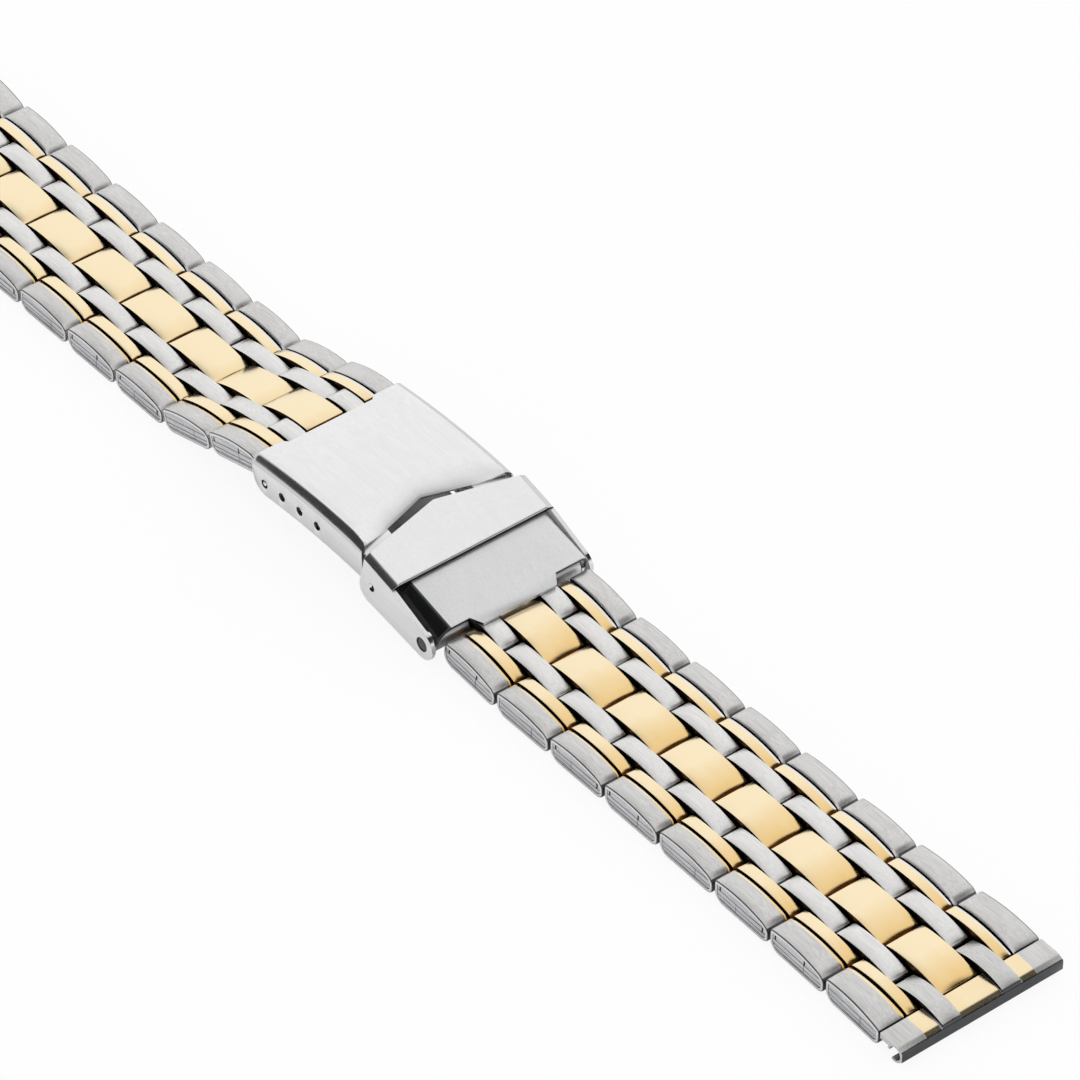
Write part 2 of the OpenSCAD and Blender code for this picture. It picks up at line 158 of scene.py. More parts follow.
def new_metal(name, grain_mm):
    """A bare metal and its shader, with noise whose grain is grain_mm long in X, Y and Z."""
    material = bpy.data.materials.new(name)
    material.use_nodes = True
    tree = material.node_tree
    shader = tree.nodes["Principled BSDF"]
    shader.inputs["Metallic"].default_value = 1
    place = add_node(tree, "ShaderNodeTexCoord").outputs["Object"]
    grains = []
    for lengths in grain_mm:
        scale = [1 / (length * MM) for length in lengths]
        stretched = add_node(tree, "ShaderNodeMapping", {"Vector": place, "Scale": scale})
        grains.append(add_node(tree, "ShaderNodeTexNoise", {
            "Vector": stretched.outputs[0], "Scale": 1.0, "Detail": 3.0, "Roughness": 0.6}).outputs["Fac"])
    return material, tree, shader, grains


def coloured(tree, shader, share, colours, pattern, rough, depth_mm=0):
    """Mixes a metal's two colours by share; a pattern sets its roughness and, with a depth, its relief."""
    mix = {0: share, 6: linear(colours[0]), 7: linear(colours[1])}
    colour = add_node(tree, "ShaderNodeMix", mix, data_type="RGBA")
    gloss = add_node(tree, "ShaderNodeMapRange",
                     {"Value": pattern, "To Min": rough[0], "To Max": rough[1]})
    tree.links.new(colour.outputs[2], shader.inputs["Base Color"])
    tree.links.new(gloss.outputs[0], shader.inputs["Roughness"])
    if depth_mm:
        bump = add_node(tree, "ShaderNodeBump", {"Height": pattern, "Distance": depth_mm * MM})
        tree.links.new(bump.outputs[0], shader.inputs["Normal"])


print("a mid grey in linear light:", linear("#808080")[:3])

# %% [markdown]
# Stainless steel that is drawn under an abrasive belt is covered with fine scratches along the bracelet. The
# real ones are some 0.02 mm apart, finer than a pixel, so they are drawn 0.07 to 0.08 mm apart here. They
# make the grey uneven in long streaks and blur what the metal reflects. The clasp is brushed more finely than
# the links and looks lighter. The cut edges of the folded strip have short, deep scratches and look darker.

# %% Brushed steel
CLOUD_MM = (6.0, 1.2, 1.2)
CLOUD_SHARE = 0.2
STREAKS = (0.35, 0.65)
FINE_BRUSH = {"along_mm": 12.0, "across_mm": 0.07, "depth_mm": 0.001}
CUT_EDGE = {"along_mm": 3.0, "across_mm": 0.08, "depth_mm": 0.006}


def brushed_steel(name, dark, light, rough, along_mm=9.0, across_mm=0.08, depth_mm=0.002):
    """Stainless steel, belt brushed along X."""
    grain_mm = [(along_mm, across_mm, across_mm), CLOUD_MM]
    material, tree, shader, (scratches, cloud) = new_metal(name, grain_mm)
    both = add_node(tree, "ShaderNodeMix", {0: CLOUD_SHARE, 2: scratches, 3: cloud}, data_type="FLOAT")
    share = add_node(tree, "ShaderNodeMapRange",
                     {"Value": both.outputs[0], "From Min": STREAKS[0], "From Max": STREAKS[1]})
    coloured(tree, shader, share.outputs[0], (dark, light), scratches, (rough - 0.05, rough + 0.06), depth_mm)
    return material


link_steel = brushed_steel("belt_brushed_link_steel", "#C4C3C1", "#E6E5E3", 0.36)
bridge_steel = brushed_steel("belt_brushed_bridge_steel", "#D9D8D6", "#F4F3F1", 0.36)
clasp_steel = brushed_steel("fine_brushed_clasp_steel", "#EBE9EA", "#F9F8F8", 0.38, **FINE_BRUSH)
cap_steel = brushed_steel("fine_brushed_cap_steel", "#D8D8D9", "#E8E8E9", 0.38, **FINE_BRUSH)
fold_steel = brushed_steel("cut_edges_of_folded_steel", "#B8B9BC", "#ECECEE", 0.4, **CUT_EDGE)
print("brushed steels:", [m.name for m in (link_steel, bridge_steel, clasp_steel, cap_steel, fold_steel)])

# %% [markdown]
# Where a buffing wheel has been, the same steel is smooth and mirrors what stands round it. The buffed steel
# is also painted on some edges and strips as a painted highlight. The wheel doesn't reach everywhere. The
# flanks of the links, which look into narrow gaps, are painted nearly black as painted shade, and the grooves
# between the folds are painted grey as painted shade. Bends and rounded ends that turn away from the light are
# painted, as painted shade, a mid grey where they see some of the room and a dark one where they don't. The
# inner faces of the catch's arms are as matt as the press left them and look pale from every side.

# %% Polished steel
HAZE_MM = (3.0, 1.2, 1.2)


def polished_steel(name, dark, light, rough):
    """Stainless steel, buffed, with the faint haze that handling leaves."""
    material, tree, shader, (haze,) = new_metal(name, [HAZE_MM])
    coloured(tree, shader, haze, (dark, light), haze, (rough, rough + 0.08))
    return material


# Buffed steel, which is also painted on some edges, strips and a dimple's half as a painted highlight.
buffed_highlight_steel = polished_steel("buffed_and_painted_highlight_steel", "#DCDCDD", "#F4F4F4", 0.1)
# Buffed steel painted a mid grey as painted shade, for bends and ends that turn away from the light.
buffed_mid_shade_steel = polished_steel("buffed_metal_in_painted_mid_shade", "#C4C5C7", "#DADBDC", 0.16)
# Steel painted dark as painted shade: rounded ends, the cap's near bend, the band's front and pin heads.
dark_shade_steel = polished_steel("metal_in_painted_dark_shade", "#47484A", "#5C5D5F", 0.2)
pressed_steel = polished_steel("matt_pressed_steel", "#F4F3F2", "#FAF9F8", 0.8)
# The outer links' right ends, painted dark as painted shade.
end_steel = polished_steel("end_metal_in_painted_shade", "#5C5D5F", "#737476", 0.28)
# Grooves, hole walls, rings and crease lines, painted grey as painted shade.
groove_shade_steel = polished_steel("metal_with_painted_groove_shade", "#77787B", "#8E8F92", 0.35)
# Flanks in the gaps, pins and dark places of the catch, painted near black as painted shade.
deep_shade_steel = polished_steel("metal_in_painted_deep_shade", "#221F1D", "#3C3733", 0.3)
print("polished steels:", [m.name for m in (buffed_highlight_steel, buffed_mid_shade_steel, dark_shade_steel, pressed_steel, end_steel,
                                            groove_shade_steel, deep_shade_steel)])

# %% [markdown]
# Gold plating is a thin coat on polished steel. Its colour is painted pale where a link faces the light and
# deeper towards the end that turns away, as painted shade. Each link's mesh carries an attribute, along, that
# runs from -1 at its left end to 1 at its right end, and the colour follows it. Where a rounded end faces the
# next link, a deep orange line is painted as a painted reflection of gold in gold. The gold flanks in the
# gaps and the right ends are painted brown as painted shade.

# %% Gold plating
WAVES_MM = (5.0, 2.5, 2.5)
WAVES_SHARE = 0.6
PAINTED_SHADE_SPAN = (0.1, 1.2)


def gold_plating(name, pale, deep, rough):
    """Gold on polished steel, painted deeper towards the link's right end as painted shade; a fine waviness
    bends its mirror.
    """
    material, tree, shader, (waves,) = new_metal(name, [WAVES_MM])
    along = add_node(tree, "ShaderNodeAttribute", attribute_name="along").outputs["Fac"]
    uneven = add_node(tree, "ShaderNodeMath", {0: waves, 1: WAVES_SHARE, 2: along}, operation="MULTIPLY_ADD")
    share = add_node(tree, "ShaderNodeMapRange",
                     {"Value": uneven.outputs[0], "From Min": PAINTED_SHADE_SPAN[0], "From Max": PAINTED_SHADE_SPAN[1]})
    coloured(tree, shader, share.outputs[0], (pale, deep), waves, (rough, rough + 0.06), 0.01)
    return material


gold = gold_plating("pale_gold_plating", "#FBE9C4", "#EFCB8A", 0.18)
# A deep orange painted on left ends as a painted reflection of the next gold link.
painted_gold_reflection = gold_plating("painted_reflection_of_gold_in_gold", "#EBA850", "#D2A25A", 0.34)
# Brown painted on gold flanks and right ends as painted shade.
painted_gold_shade = gold_plating("gold_in_painted_shade", "#4A3016", "#6E4A20", 0.3)
print("golds:", [m.name for m in (gold, painted_gold_reflection, painted_gold_shade)])

# %% [markdown]
# Modelling goes as it does by hand: add a primitive, select some of it, and run an operator. These helpers
# add a block between two corners, select vertices, edges or faces by a test, and tidy up what is finished.
# Everything is deselected first, because an operator works on all that is selected. Two places closer than
# NEAR count as one, and an edge or face is straight when its direction's share along the axis is over
# STRAIGHT.

# %% Helpers for modelling
NEAR = 0.01
STRAIGHT = 0.99


def block(name, low, high):
    """A cube primitive stretched between two corners, in millimetres."""
    bpy.ops.object.select_all(action="DESELECT")
    low, high = Vector(low), Vector(high)
    bpy.ops.mesh.primitive_cube_add(size=1, location=(low + high) / 2)
    piece = bpy.context.object
    piece.name = name
    piece.scale = high - low
    bpy.ops.object.transform_apply(location=True, rotation=True, scale=True)
    return piece


def round_bar(name, x, z, radius, y0, y1, sides=32):
    """A cylinder primitive across the bracelet, in millimetres."""
    bpy.ops.object.select_all(action="DESELECT")
    bpy.ops.mesh.primitive_cylinder_add(vertices=sides, radius=radius, depth=y1 - y0,
                                        location=(x, (y0 + y1) / 2, z), rotation=(radians(90), 0, 0))
    piece = bpy.context.object
    piece.name = name
    bpy.ops.object.transform_apply(location=True, rotation=True, scale=True)
    return piece


def select_only(piece):
    bpy.ops.object.select_all(action="DESELECT")
    bpy.context.view_layer.objects.active = piece
    piece.select_set(True)


def start_edit(piece):
    select_only(piece)
    bpy.ops.object.mode_set(mode="EDIT")


def stop_edit():
    bpy.ops.object.mode_set(mode="OBJECT")


def pick(kind, test):
    """Selects the vertices, edges or faces that pass a test, and says how many they are."""
    bpy.ops.mesh.select_mode(type=kind)
    bpy.ops.mesh.select_all(action="DESELECT")
    mesh = bmesh.from_edit_mesh(bpy.context.object.data)
    parts = {"VERT": mesh.verts, "EDGE": mesh.edges, "FACE": mesh.faces}[kind]
    chosen = [part for part in parts if test(part)]
    for part in chosen:
        part.select_set(True)
    mesh.select_flush_mode()
    bmesh.update_edit_mesh(bpy.context.object.data)
    return len(chosen)


def middle(edge):
    return (edge.verts[0].co + edge.verts[1].co) / 2


def runs(edge, axis):
    """Whether an edge runs along the axis 0, 1 or 2."""
    direction = (edge.verts[1].co - edge.verts[0].co).normalized()
    return abs(direction[axis]) > STRAIGHT


def cut(position, axis):
    """Bisects what is selected with a plane across the axis 0, 1 or 2."""
    point, normal = Vector((0, 0, 0)), Vector((0, 0, 0))
    point[axis], normal[axis] = position, 1
    bpy.ops.mesh.bisect(plane_co=point, plane_no=normal, threshold=1e-5)


def cut_all(position, axis):
    bpy.ops.mesh.select_all(action="SELECT")
    cut(position, axis)


def apply_all(piece):
    """Leaves edit mode and applies the modifiers."""
    if bpy.context.object and bpy.context.object.mode == "EDIT":
        stop_edit()
    select_only(piece)
    for modifier in list(piece.modifiers):
        bpy.ops.object.modifier_apply(modifier=modifier.name)
    return piece


def smooth(piece, angle=32, weighted=False):
    """Smooth shading up to an angle; weighted normals keep big flat faces flat beside fine bevels."""
    select_only(piece)
    bpy.ops.object.shade_smooth_by_angle(angle=radians(angle))
    if weighted:
        piece.modifiers.new("flat", "WEIGHTED_NORMAL").keep_sharp = True
        apply_all(piece)
    return piece


def joined(name, pieces):
    """One object from several."""
    bpy.ops.object.select_all(action="DESELECT")
    for piece in pieces:
        piece.select_set(True)
    bpy.context.view_layer.objects.active = pieces[0]
    if len(pieces) > 1:
        bpy.ops.object.join()
    pieces[0].name = name
    return pieces[0]


def copied(pattern, name, matrix):
    """A copy with its own mesh, moved by a matrix; a mirrored one is turned right side out."""
    piece = pattern.copy()
    piece.data = pattern.data.copy()
    piece.name = name
    bpy.context.scene.collection.objects.link(piece)
    piece.data.transform(matrix)
    if matrix.determinant() < 0:
        piece.data.flip_normals()
    return piece


def finish_piece(piece, body, slot, *nodes):
    """Rides a finished piece on its body and lets it stand for its nodes."""
    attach(piece, body)
    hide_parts(*nodes)
    return piece


MIRROR_Y = Matrix.Scale(-1, 4, (0, 1, 0))
patterns = []
print("places closer than", NEAR, "mm count as one")

# %% [markdown]
# A folded link is a strip of steel that is bent round its two pins. From above it is a small brick with a
# crowned top: 2.7 mm thick at the crown, which lies a little left of the middle, and 2 mm at its right end.
# The block's four end edges are bevelled round first, then its top is divided and each column of vertices is
# scaled down along an arc. A column is all the vertices whose x is the same to four places.

# %% One link
LINK_T = 2.7
LINK_END_T = 2.0
PIN_H = 1.3
HALF_PITCH = (row_place("short", 4).translation - row_place("short", 3).translation).length / MM / 2
ROW_GAP = 0.35
HALF_LINK = HALF_PITCH - ROW_GAP / 2
CROWN_CUTS = 11
CROWN_AT = -0.9
SMALL_R = 0.5
STRIP_SLOPE = 0.25
UPPER_Z = 0.4
COLUMN_W = 6e-5


def crown_fall(x, half, crown_at):
    """How far a link's crowned top lies below its highest place, which is at crown_at, in millimetres."""
    drop = LINK_T - LINK_END_T
    reach = half - crown_at
    radius = (reach * reach + drop * drop) / (2 * drop)
    return radius - sqrt(max(radius * radius - (x - crown_at) ** 2, 0))


def crowned_link(name, x0, x1, y0, y1, end_r, low_r, edge_r, strip=0, crown_at=CROWN_AT):
    """A link from x0 to x1, its pins at height 0, with rounded ends and fine edges along its length.

    end_r and low_r are the radii above and below, at the left and the right end. strip is the width of a
    facet that slopes gently along the top edge that faces +Y.
    """
    half, mid = (x1 - x0) / 2, (x0 + x1) / 2
    link = block(name, (-half, y0, -PIN_H), (half, y1, LINK_T - PIN_H))
    start_edit(link)
    for height, radii in ((LINK_T - PIN_H, end_r), (-PIN_H, low_r)):
        for end, radius in ((-half, radii[0]), (half, radii[1])):
            pick("EDGE", lambda e: runs(e, 1) and abs(middle(e).x - end) < NEAR
                 and abs(middle(e).z - height) < NEAR)
            bpy.ops.mesh.bevel(offset=radius, segments=2 if radius < SMALL_R else 6, affect="EDGES")
    pick("EDGE", lambda e: runs(e, 0) and middle(e).z > LINK_T - PIN_H - NEAR)
    bpy.ops.mesh.subdivide(number_cuts=CROWN_CUTS, ngon=True)
    if strip:
        cut_all(y1 - strip, 1)
        pick("VERT", lambda v: v.co.z > UPPER_Z and v.co.y > y1 - NEAR)
        bpy.ops.transform.translate(value=(0, 0, -strip * STRIP_SLOPE))
    mesh = bmesh.from_edit_mesh(link.data)
    for x in sorted({round(v.co.x, 4) for v in mesh.verts}):
        pick("VERT", lambda v: abs(v.co.x - x) < COLUMN_W)
        shrink = 1 - crown_fall(x, half, crown_at) / LINK_T
        bpy.ops.transform.resize(value=(1, 1, shrink), center_override=(0, 0, -PIN_H))
    bpy.ops.mesh.select_all(action="SELECT")
    bpy.ops.transform.translate(value=(mid, 0, 0))
    pick("EDGE", lambda e: (middle(e).y < y0 + NEAR or middle(e).y > y1 - NEAR) and not runs(e, 1)
         and len({round(f.normal.y) for f in e.link_faces}) > 1)
    bpy.ops.mesh.bevel(offset=edge_r, segments=2, affect="EDGES", clamp_overlap=True)
    stop_edit()
    along = link.data.attributes.new("along", "FLOAT", "POINT")
    for vertex in link.data.vertices:
        along.data[vertex.index].value = (vertex.co.x - mid) / half
    return link


print("pitch:", 2 * HALF_PITCH, "length of a link:", 2 * HALF_LINK)

# %% [markdown]
# The narrow steel links bridge one row to the next. Each side of the bracelet has a pair of them between two
# rows, one on either side of the gold middle. Their tops are brushed; their flanks, which stand in the dark
# gaps, and their rounded right ends are painted dark as painted shade.

# %% Bridges and half links
BRIDGE_W = 2.25
bridge_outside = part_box("short_bridge_3")[1].y / MM
BRIDGE_Y = (bridge_outside - BRIDGE_W, bridge_outside)
FLANK_NORMAL = 0.8
END_NORMAL = 0.75


def paint(piece, materials, choose=lambda face: 0):
    """Gives every face one of the materials; choose gives its number in their list."""
    piece.data.materials.clear()
    for material in materials:
        piece.data.materials.append(material)
    for face in piece.data.polygons:
        face.material_index = choose(face)
    return piece


def bridge_finish(face):
    """0 brushed top, 1 dark flanks, 2 the rounded right end, both painted dark as painted shade."""
    if abs(face.normal.y) > FLANK_NORMAL:
        return 1
    return 2 if face.normal.x > END_NORMAL else 0


def pair_of(piece, name):
    """A piece and its mirror image across the bracelet's middle."""
    return joined(name, [piece, copied(piece, name + "_far", MIRROR_Y)])


def steel_pair(name, x0, x1, low_r, crown_at=CROWN_AT):
    """The pattern of a pair of narrow steel links from x0 to x1."""
    link = crowned_link(name, x0, x1, *BRIDGE_Y, end_r=(0.35, 0.45), low_r=(low_r, low_r), edge_r=0.09,
                        crown_at=crown_at)
    paint(link, [bridge_steel, deep_shade_steel, dark_shade_steel], bridge_finish)
    patterns.append(smooth(pair_of(link, name)))
    return patterns[-1]


bridge = steel_pair("bridge_pattern", -HALF_LINK, HALF_LINK, 0.75)
for side, rows in SIDES.items():
    for row in range(1, rows):
        name = f"{side}_bridge_{row}"
        finish_piece(copied(bridge, f"{side}_folded_bridge_{row}", bridge_place(side, row)),
                     name, "brushed_steel", name)

EYE = {"short": 1.25, "long": 1.15}
for side in SIDES:
    start, end = pins[f"{side}_half_link_hinge"], pins[f"{side}_row_1_hinge"]
    half_span = (end - start).length / MM / 2
    reach = HALF_LINK - HALF_PITCH / 2
    left, right = (EYE[side], reach) if side == "short" else (reach, EYE[side])
    half_link = steel_pair("half_link_pattern", -half_span - left, half_span + right, 0.7, crown_at=0)
    finish_piece(copied(half_link, f"{side}_folded_half_link", slope_between(start, end)),
                 f"{side}_half_link", "brushed_steel", f"{side}_half_link")
print("bridges and half links:", sum(SIDES.values()))

# %% [markdown]
# The gold links are the wide middle link and a thin one beside each outer link. They are polished all round,
# and their crowns mirror the studio. On the long side their painted shade runs less deep, so they look paler.
# The thin link on the far side has a narrow facet along its top edge, painted steel-white as a painted
# highlight.
# The last short row ends squarer beside the end piece. The short row below the clasp's cap has its crown
# nearer its middle, so that it clears the cap when it turns.

# %% Gold links
CENTRE_Y = 2.275
THIN_Y = (5.125, 6.47)
GOLD_LEFT_NORMAL = -0.6
GOLD_RIGHT_NORMAL = 0.62
STRIP_NORMAL = 0.15
HIGHLIGHT_STRIP = 0.25
LESS_PAINTED_SHADE = 0.7


def gold_finish(face):
    """0 plain gold, 1 flanks and right ends in painted shade, 2 left ends in a painted reflection of the next
    link, 3 the edge in a painted highlight.
    """
    if abs(face.normal.y) > FLANK_NORMAL or face.normal.x > GOLD_RIGHT_NORMAL:
        return 1
    if face.normal.y > STRIP_NORMAL and face.center.y > THIN_Y[1] - HIGHLIGHT_STRIP:
        return 3
    return 2 if face.normal.x < GOLD_LEFT_NORMAL else 0


def gold_links(name, right_r, crown_at=CROWN_AT):
    """The three gold links of a row; right_r rounds the top of their right ends."""
    ends = {"end_r": (0.25, right_r), "low_r": (0.75, 0.75), "crown_at": crown_at}
    centre = crowned_link(name, -HALF_LINK, HALF_LINK, -CENTRE_Y, CENTRE_Y, edge_r=0.12, **ends)
    near = crowned_link("near_thin", -HALF_LINK, HALF_LINK, -THIN_Y[1], -THIN_Y[0], edge_r=0.08, **ends)
    far = crowned_link("far_thin", -HALF_LINK, HALF_LINK, *THIN_Y, edge_r=0.08, strip=HIGHLIGHT_STRIP, **ends)
    links = paint(joined(name, [centre, near, far]), [gold, painted_gold_shade, painted_gold_reflection, buffed_highlight_steel], gold_finish)
    patterns.append(smooth(links))
    return links


gold_row = gold_links("gold_pattern", 0.5)
last_gold_row = gold_links("last_gold_pattern", 0.25)
row_below_cap = gold_links("gold_pattern_below_cap", 0.5, crown_at=-0.5)
for side, rows in SIDES.items():
    for row in range(1, rows + 1):
        pattern = {("short", rows): last_gold_row, ("short", 1): row_below_cap}.get((side, row), gold_row)
        links = copied(pattern, f"{side}_gold_links_{row}", row_place(side, row))
        # On the long side the gold's painted shade runs less deep.
        if side == "long":
            for point in links.data.attributes["along"].data:
                point.value -= LESS_PAINTED_SHADE
        finish_piece(links, f"{side}_row_{row}", "gold_plating", f"{side}_gold_row_{row}")
print("gold rows:", sum(SIDES.values()))

# %% [markdown]
# The outer links show how they are made: their cut edges face sideways. A rim follows the outline, where the
# strip wraps round, and inside it lie the folded layers with fine seams and small slots between them. The
# outer face is inset for the rim, pushed in, and cut into layers that are raised again one by one.

# %% Folds of an outer link
OUTER_Y = 6.705
RIM = 0.28
RIM_AREA = 3
MIDDLE_AREA = 8
WELD = 0.04
RECESS = 0.12
RAISED = 0.8
SEAM = 0.06
SEAM_DEPTH = 0.005
SLOT_W = 0.15
SLOT_DEPTH = 0.6
LAYERS = (-0.72, -0.3, 0.3)
INNER_NORMAL = -0.1
EDGE_NORMAL = 0.2
OUTER_STRIP = 0.32
RIGHT_END, INNER_STRIP = 6, 7
half_width = {side: [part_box(f"{side}_steel_row_{row}")[1].y / MM for row in range(1, rows + 1)]
              for side, rows in SIDES.items()}
straight_width = half_width["short"][0]


def in_recess(face):
    """Whether a face lies on the pushed-in outer face of the link."""
    depth = straight_width - face.calc_center_median().y
    return face.normal.y > STRAIGHT and abs(depth - RECESS) < 1e-3


def in_slot(face, slots):
    """Whether a face lies between the cuts of a slot."""
    place = face.calc_center_median()
    return any(x < place.x < x + SLOT_W and low < place.z < high for x, low, high in slots)


def split(position, axis, low=-LINK_T, high=LINK_T):
    """Cuts the recessed faces between two heights."""
    pick("FACE", lambda f: in_recess(f) and low < f.calc_center_median().z < high)
    cut(position, axis)


def outer_finish(face):
    """0 brushed top, 1 cut edges; in painted shade 2 the flank in the gap, 5 the dark edge, 6 the right end; 7
    the inner strip, painted gold on the near link as a painted reflection.
    """
    if abs(face.normal.y) > FLANK_NORMAL:
        return 1 if face.normal.y > 0 else 2
    if face.normal.y < INNER_NORMAL:
        return INNER_STRIP
    if face.normal.y > EDGE_NORMAL:
        return 5
    return RIGHT_END if face.normal.x > END_NORMAL else 0


def outer_link(name, seam_x, slots, right_r=0.9):
    """An outer link with its folds. The strip's end meets at seam_x; slots are open gaps (x, low, high)."""
    link = crowned_link(name, -HALF_LINK, HALF_LINK, -straight_width, -OUTER_Y, end_r=(0.3, right_r),
                        low_r=(1.3, 1.0), edge_r=0.1, strip=OUTER_STRIP)
    link.data.transform(MIRROR_Y)
    link.data.flip_normals()
    paint(link, [link_steel, fold_steel, deep_shade_steel, buffed_highlight_steel, groove_shade_steel, dark_shade_steel, end_steel,
                 gold], outer_finish)
    start_edit(link)
    mesh = bmesh.from_edit_mesh(link.data)
    biggest = max((f for f in mesh.faces if f.normal.y > STRAIGHT), key=lambda f: f.calc_area()).index
    pick("FACE", lambda f: f.index == biggest)
    bpy.ops.mesh.inset(thickness=RIM, depth=0)
    pick("FACE", lambda f: f.normal.y > STRAIGHT and f.calc_area() < RIM_AREA)
    link.active_material_index = 3
    bpy.ops.object.material_slot_assign()
    bpy.ops.mesh.remove_doubles(threshold=WELD)
    pick("FACE", lambda f: f.normal.y > STRAIGHT and f.calc_area() > MIDDLE_AREA)
    bpy.ops.mesh.extrude_region_move(TRANSFORM_OT_translate={"value": (0, -RECESS, 0)})
    for height in LAYERS:
        split(height, 2)
    split(seam_x, 0, LAYERS[0], LAYERS[2])
    for x, low, high in slots:
        split(x, 0, low, high)
        split(x + SLOT_W, 0, low, high)
    pick("FACE", lambda f: in_recess(f) and not in_slot(f, slots))
    bpy.ops.mesh.inset(thickness=SEAM, depth=RECESS * RAISED, use_individual=True, use_even_offset=False)
    pick("FACE", lambda f: in_recess(f) and in_slot(f, slots))
    bpy.ops.mesh.extrude_region_move(TRANSFORM_OT_translate={"value": (0, -SLOT_DEPTH, 0)})
    stop_edit()
    # Sunk faces of the seams and slots are painted grey as painted shade.
    for face in link.data.polygons:
        depth = straight_width - face.center.y
        inside = SEAM_DEPTH < depth < RECESS + SLOT_DEPTH + 0.1
        sunk = face.normal.y < 0.95 or depth > RECESS + NEAR
        if face.material_index == 1 and inside and sunk:
            face.material_index = 4
    return link


outer_patterns = [
    outer_link("outer_pattern_1", 1.0, [(-3.3, 0.3, 0.75), (1.05, 0.3, 0.9)]),
    outer_link("outer_pattern_2", 1.4, [(-3.2, 0.3, 0.7), (1.3, 0.3, 0.6)]),
    outer_link("outer_pattern_3", -0.8, [(3.1, -0.3, 0.3), (-3.25, 0.3, 0.7)])]
last_outer = outer_link("last_outer_pattern", 1.2, [(-3.2, 0.3, 0.7)], right_r=0.3)
print("faces of the outer links:", [len(link.data.polygons) for link in outer_patterns + [last_outer]])

# %% [markdown]
# The bracelet is wider at the watch than at the clasp, so each pair of outer links is flared to the width of
# its own row and then joined with the two pins that it holds. A strip along the near link's inner edge is
# painted gold, a painted reflection of the gold beside it. The right ends are painted dark as painted shade,
# nearly black on the short side and lighter on the long one.

# %% Outer links in their rows
PIN_R = 0.5
PIN_REACH = 8.25


def flared(link, left_half, right_half):
    """Widens a link towards the watch: its outer face runs from one half width to the other."""
    for vertex in link.data.vertices:
        share = (vertex.co.x + HALF_PITCH) / (2 * HALF_PITCH)
        width = left_half + (right_half - left_half) * share
        vertex.co.y = OUTER_Y + (vertex.co.y - OUTER_Y) * (width - OUTER_Y) / (straight_width - OUTER_Y)
    return link


pin = round_bar("pin_pattern", 0, 0, PIN_R, -PIN_REACH, PIN_REACH, 24)
# The pins are painted near black as painted shade.
paint(pin, [deep_shade_steel])
patterns.extend(outer_patterns + [last_outer, pin])
for side, rows in SIDES.items():
    for row in range(1, rows + 1):
        widths = (half_width[side][max(row - 2, 0)], half_width[side][row - 1])
        if side == "long":
            widths = widths[::-1]
        pattern = outer_patterns[(row - 1) % len(outer_patterns)]
        if (side, row) == ("short", rows):
            pattern = last_outer
        far = flared(copied(pattern, "far", Matrix.Identity(4)), *widths)
        # The long side's right ends take a lighter painted shade; only the near link keeps its strip painted
        # gold as a painted reflection.
        if side == "long":
            far.data.materials[RIGHT_END] = buffed_mid_shade_steel
        near = copied(far, "near", MIRROR_Y)
        far.data.materials[INNER_STRIP] = link_steel
        bars = [copied(pin, "bar", Matrix.Translation((x, 0, 0))) for x in (-HALF_PITCH / 2, HALF_PITCH / 2)]
        links = smooth(joined(f"{side}_outer_links_{row}", [near, far] + bars))
        links.data.transform(row_place(side, row))
        finish_piece(links, f"{side}_row_{row}", "brushed_steel", f"{side}_steel_row_{row}")
print("outer links:", 2 * sum(SIDES.values()), "half widths:", half_width)

# %% [markdown]
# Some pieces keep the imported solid's own form and only need softened edges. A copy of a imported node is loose
# triangles, so its doubles are merged and its flat faces dissolved before the edges are bevelled. The packed
# node itself is left alone.

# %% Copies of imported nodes
def bevel_edges(piece, width_mm, angle, segments=3):
    """Bevels every edge that is sharper than an angle."""
    bevel = piece.modifiers.new("edges", "BEVEL")
    bevel.limit_method = "ANGLE"
    bevel.angle_limit = radians(angle)
    bevel.width = width_mm
    bevel.segments = segments
    bevel.use_clamp_overlap = True
    return apply_all(piece)


def soft_copy(node, name):
    """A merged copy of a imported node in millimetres."""
    source = frame["nodes"][node]
    piece = copied(source, name, Matrix.Scale(1 / MM, 4))
    for key in list(piece.keys()):
        del piece[key]
    piece.parent = None
    piece.matrix_world = Matrix.Identity(4)
    start_edit(piece)
    bpy.ops.mesh.select_all(action="SELECT")
    bpy.ops.mesh.remove_doubles(threshold=1e-3)
    bpy.ops.mesh.dissolve_limited(angle_limit=radians(1))
    stop_edit()
    return piece


ends = [soft_copy(f"{side}_end_piece", f"{side}_plated_end_piece") for side in SIDES]
print("faces of the end pieces:", [len(piece.data.polygons) for piece in ends])

# %% [markdown]
# The end piece fits between the watch's lugs. Its band is plated in the pattern of the links: steel at the
# edges, gold beside it, steel over the tongues and gold in the middle. Below the band, a rolled lip holds the
# watch's spring bar. The band's front face is painted dark and its flanks in the gaps darker, as painted shade.

# %% End pieces
BAND_EDGES = (2.5, 5.05, 6.8)
BAND_FROM = 1.9
FRONT_FROM = 4
SIDE_Y = 9.8
FRONT_NORMAL = 0.55
TOP_NORMAL = 0.15


def band_finish(face, end_x, sign):
    """0 steel, 1 gold, 2 the front and 3 flanks in the gaps, both in painted shade; sign is 1 where the watch
    lies at +X.
    """
    reach = (face.center.x - end_x) * sign
    if face.normal.x * sign > FRONT_NORMAL and reach > FRONT_FROM:
        return 2
    width = abs(face.center.y)
    if abs(face.normal.y) > 0.9 and width < SIDE_Y:
        return 3
    golden = width < BAND_EDGES[0] or BAND_EDGES[1] < width < BAND_EDGES[2]
    return 1 if golden and reach > BAND_FROM and face.normal.z > TOP_NORMAL else 0


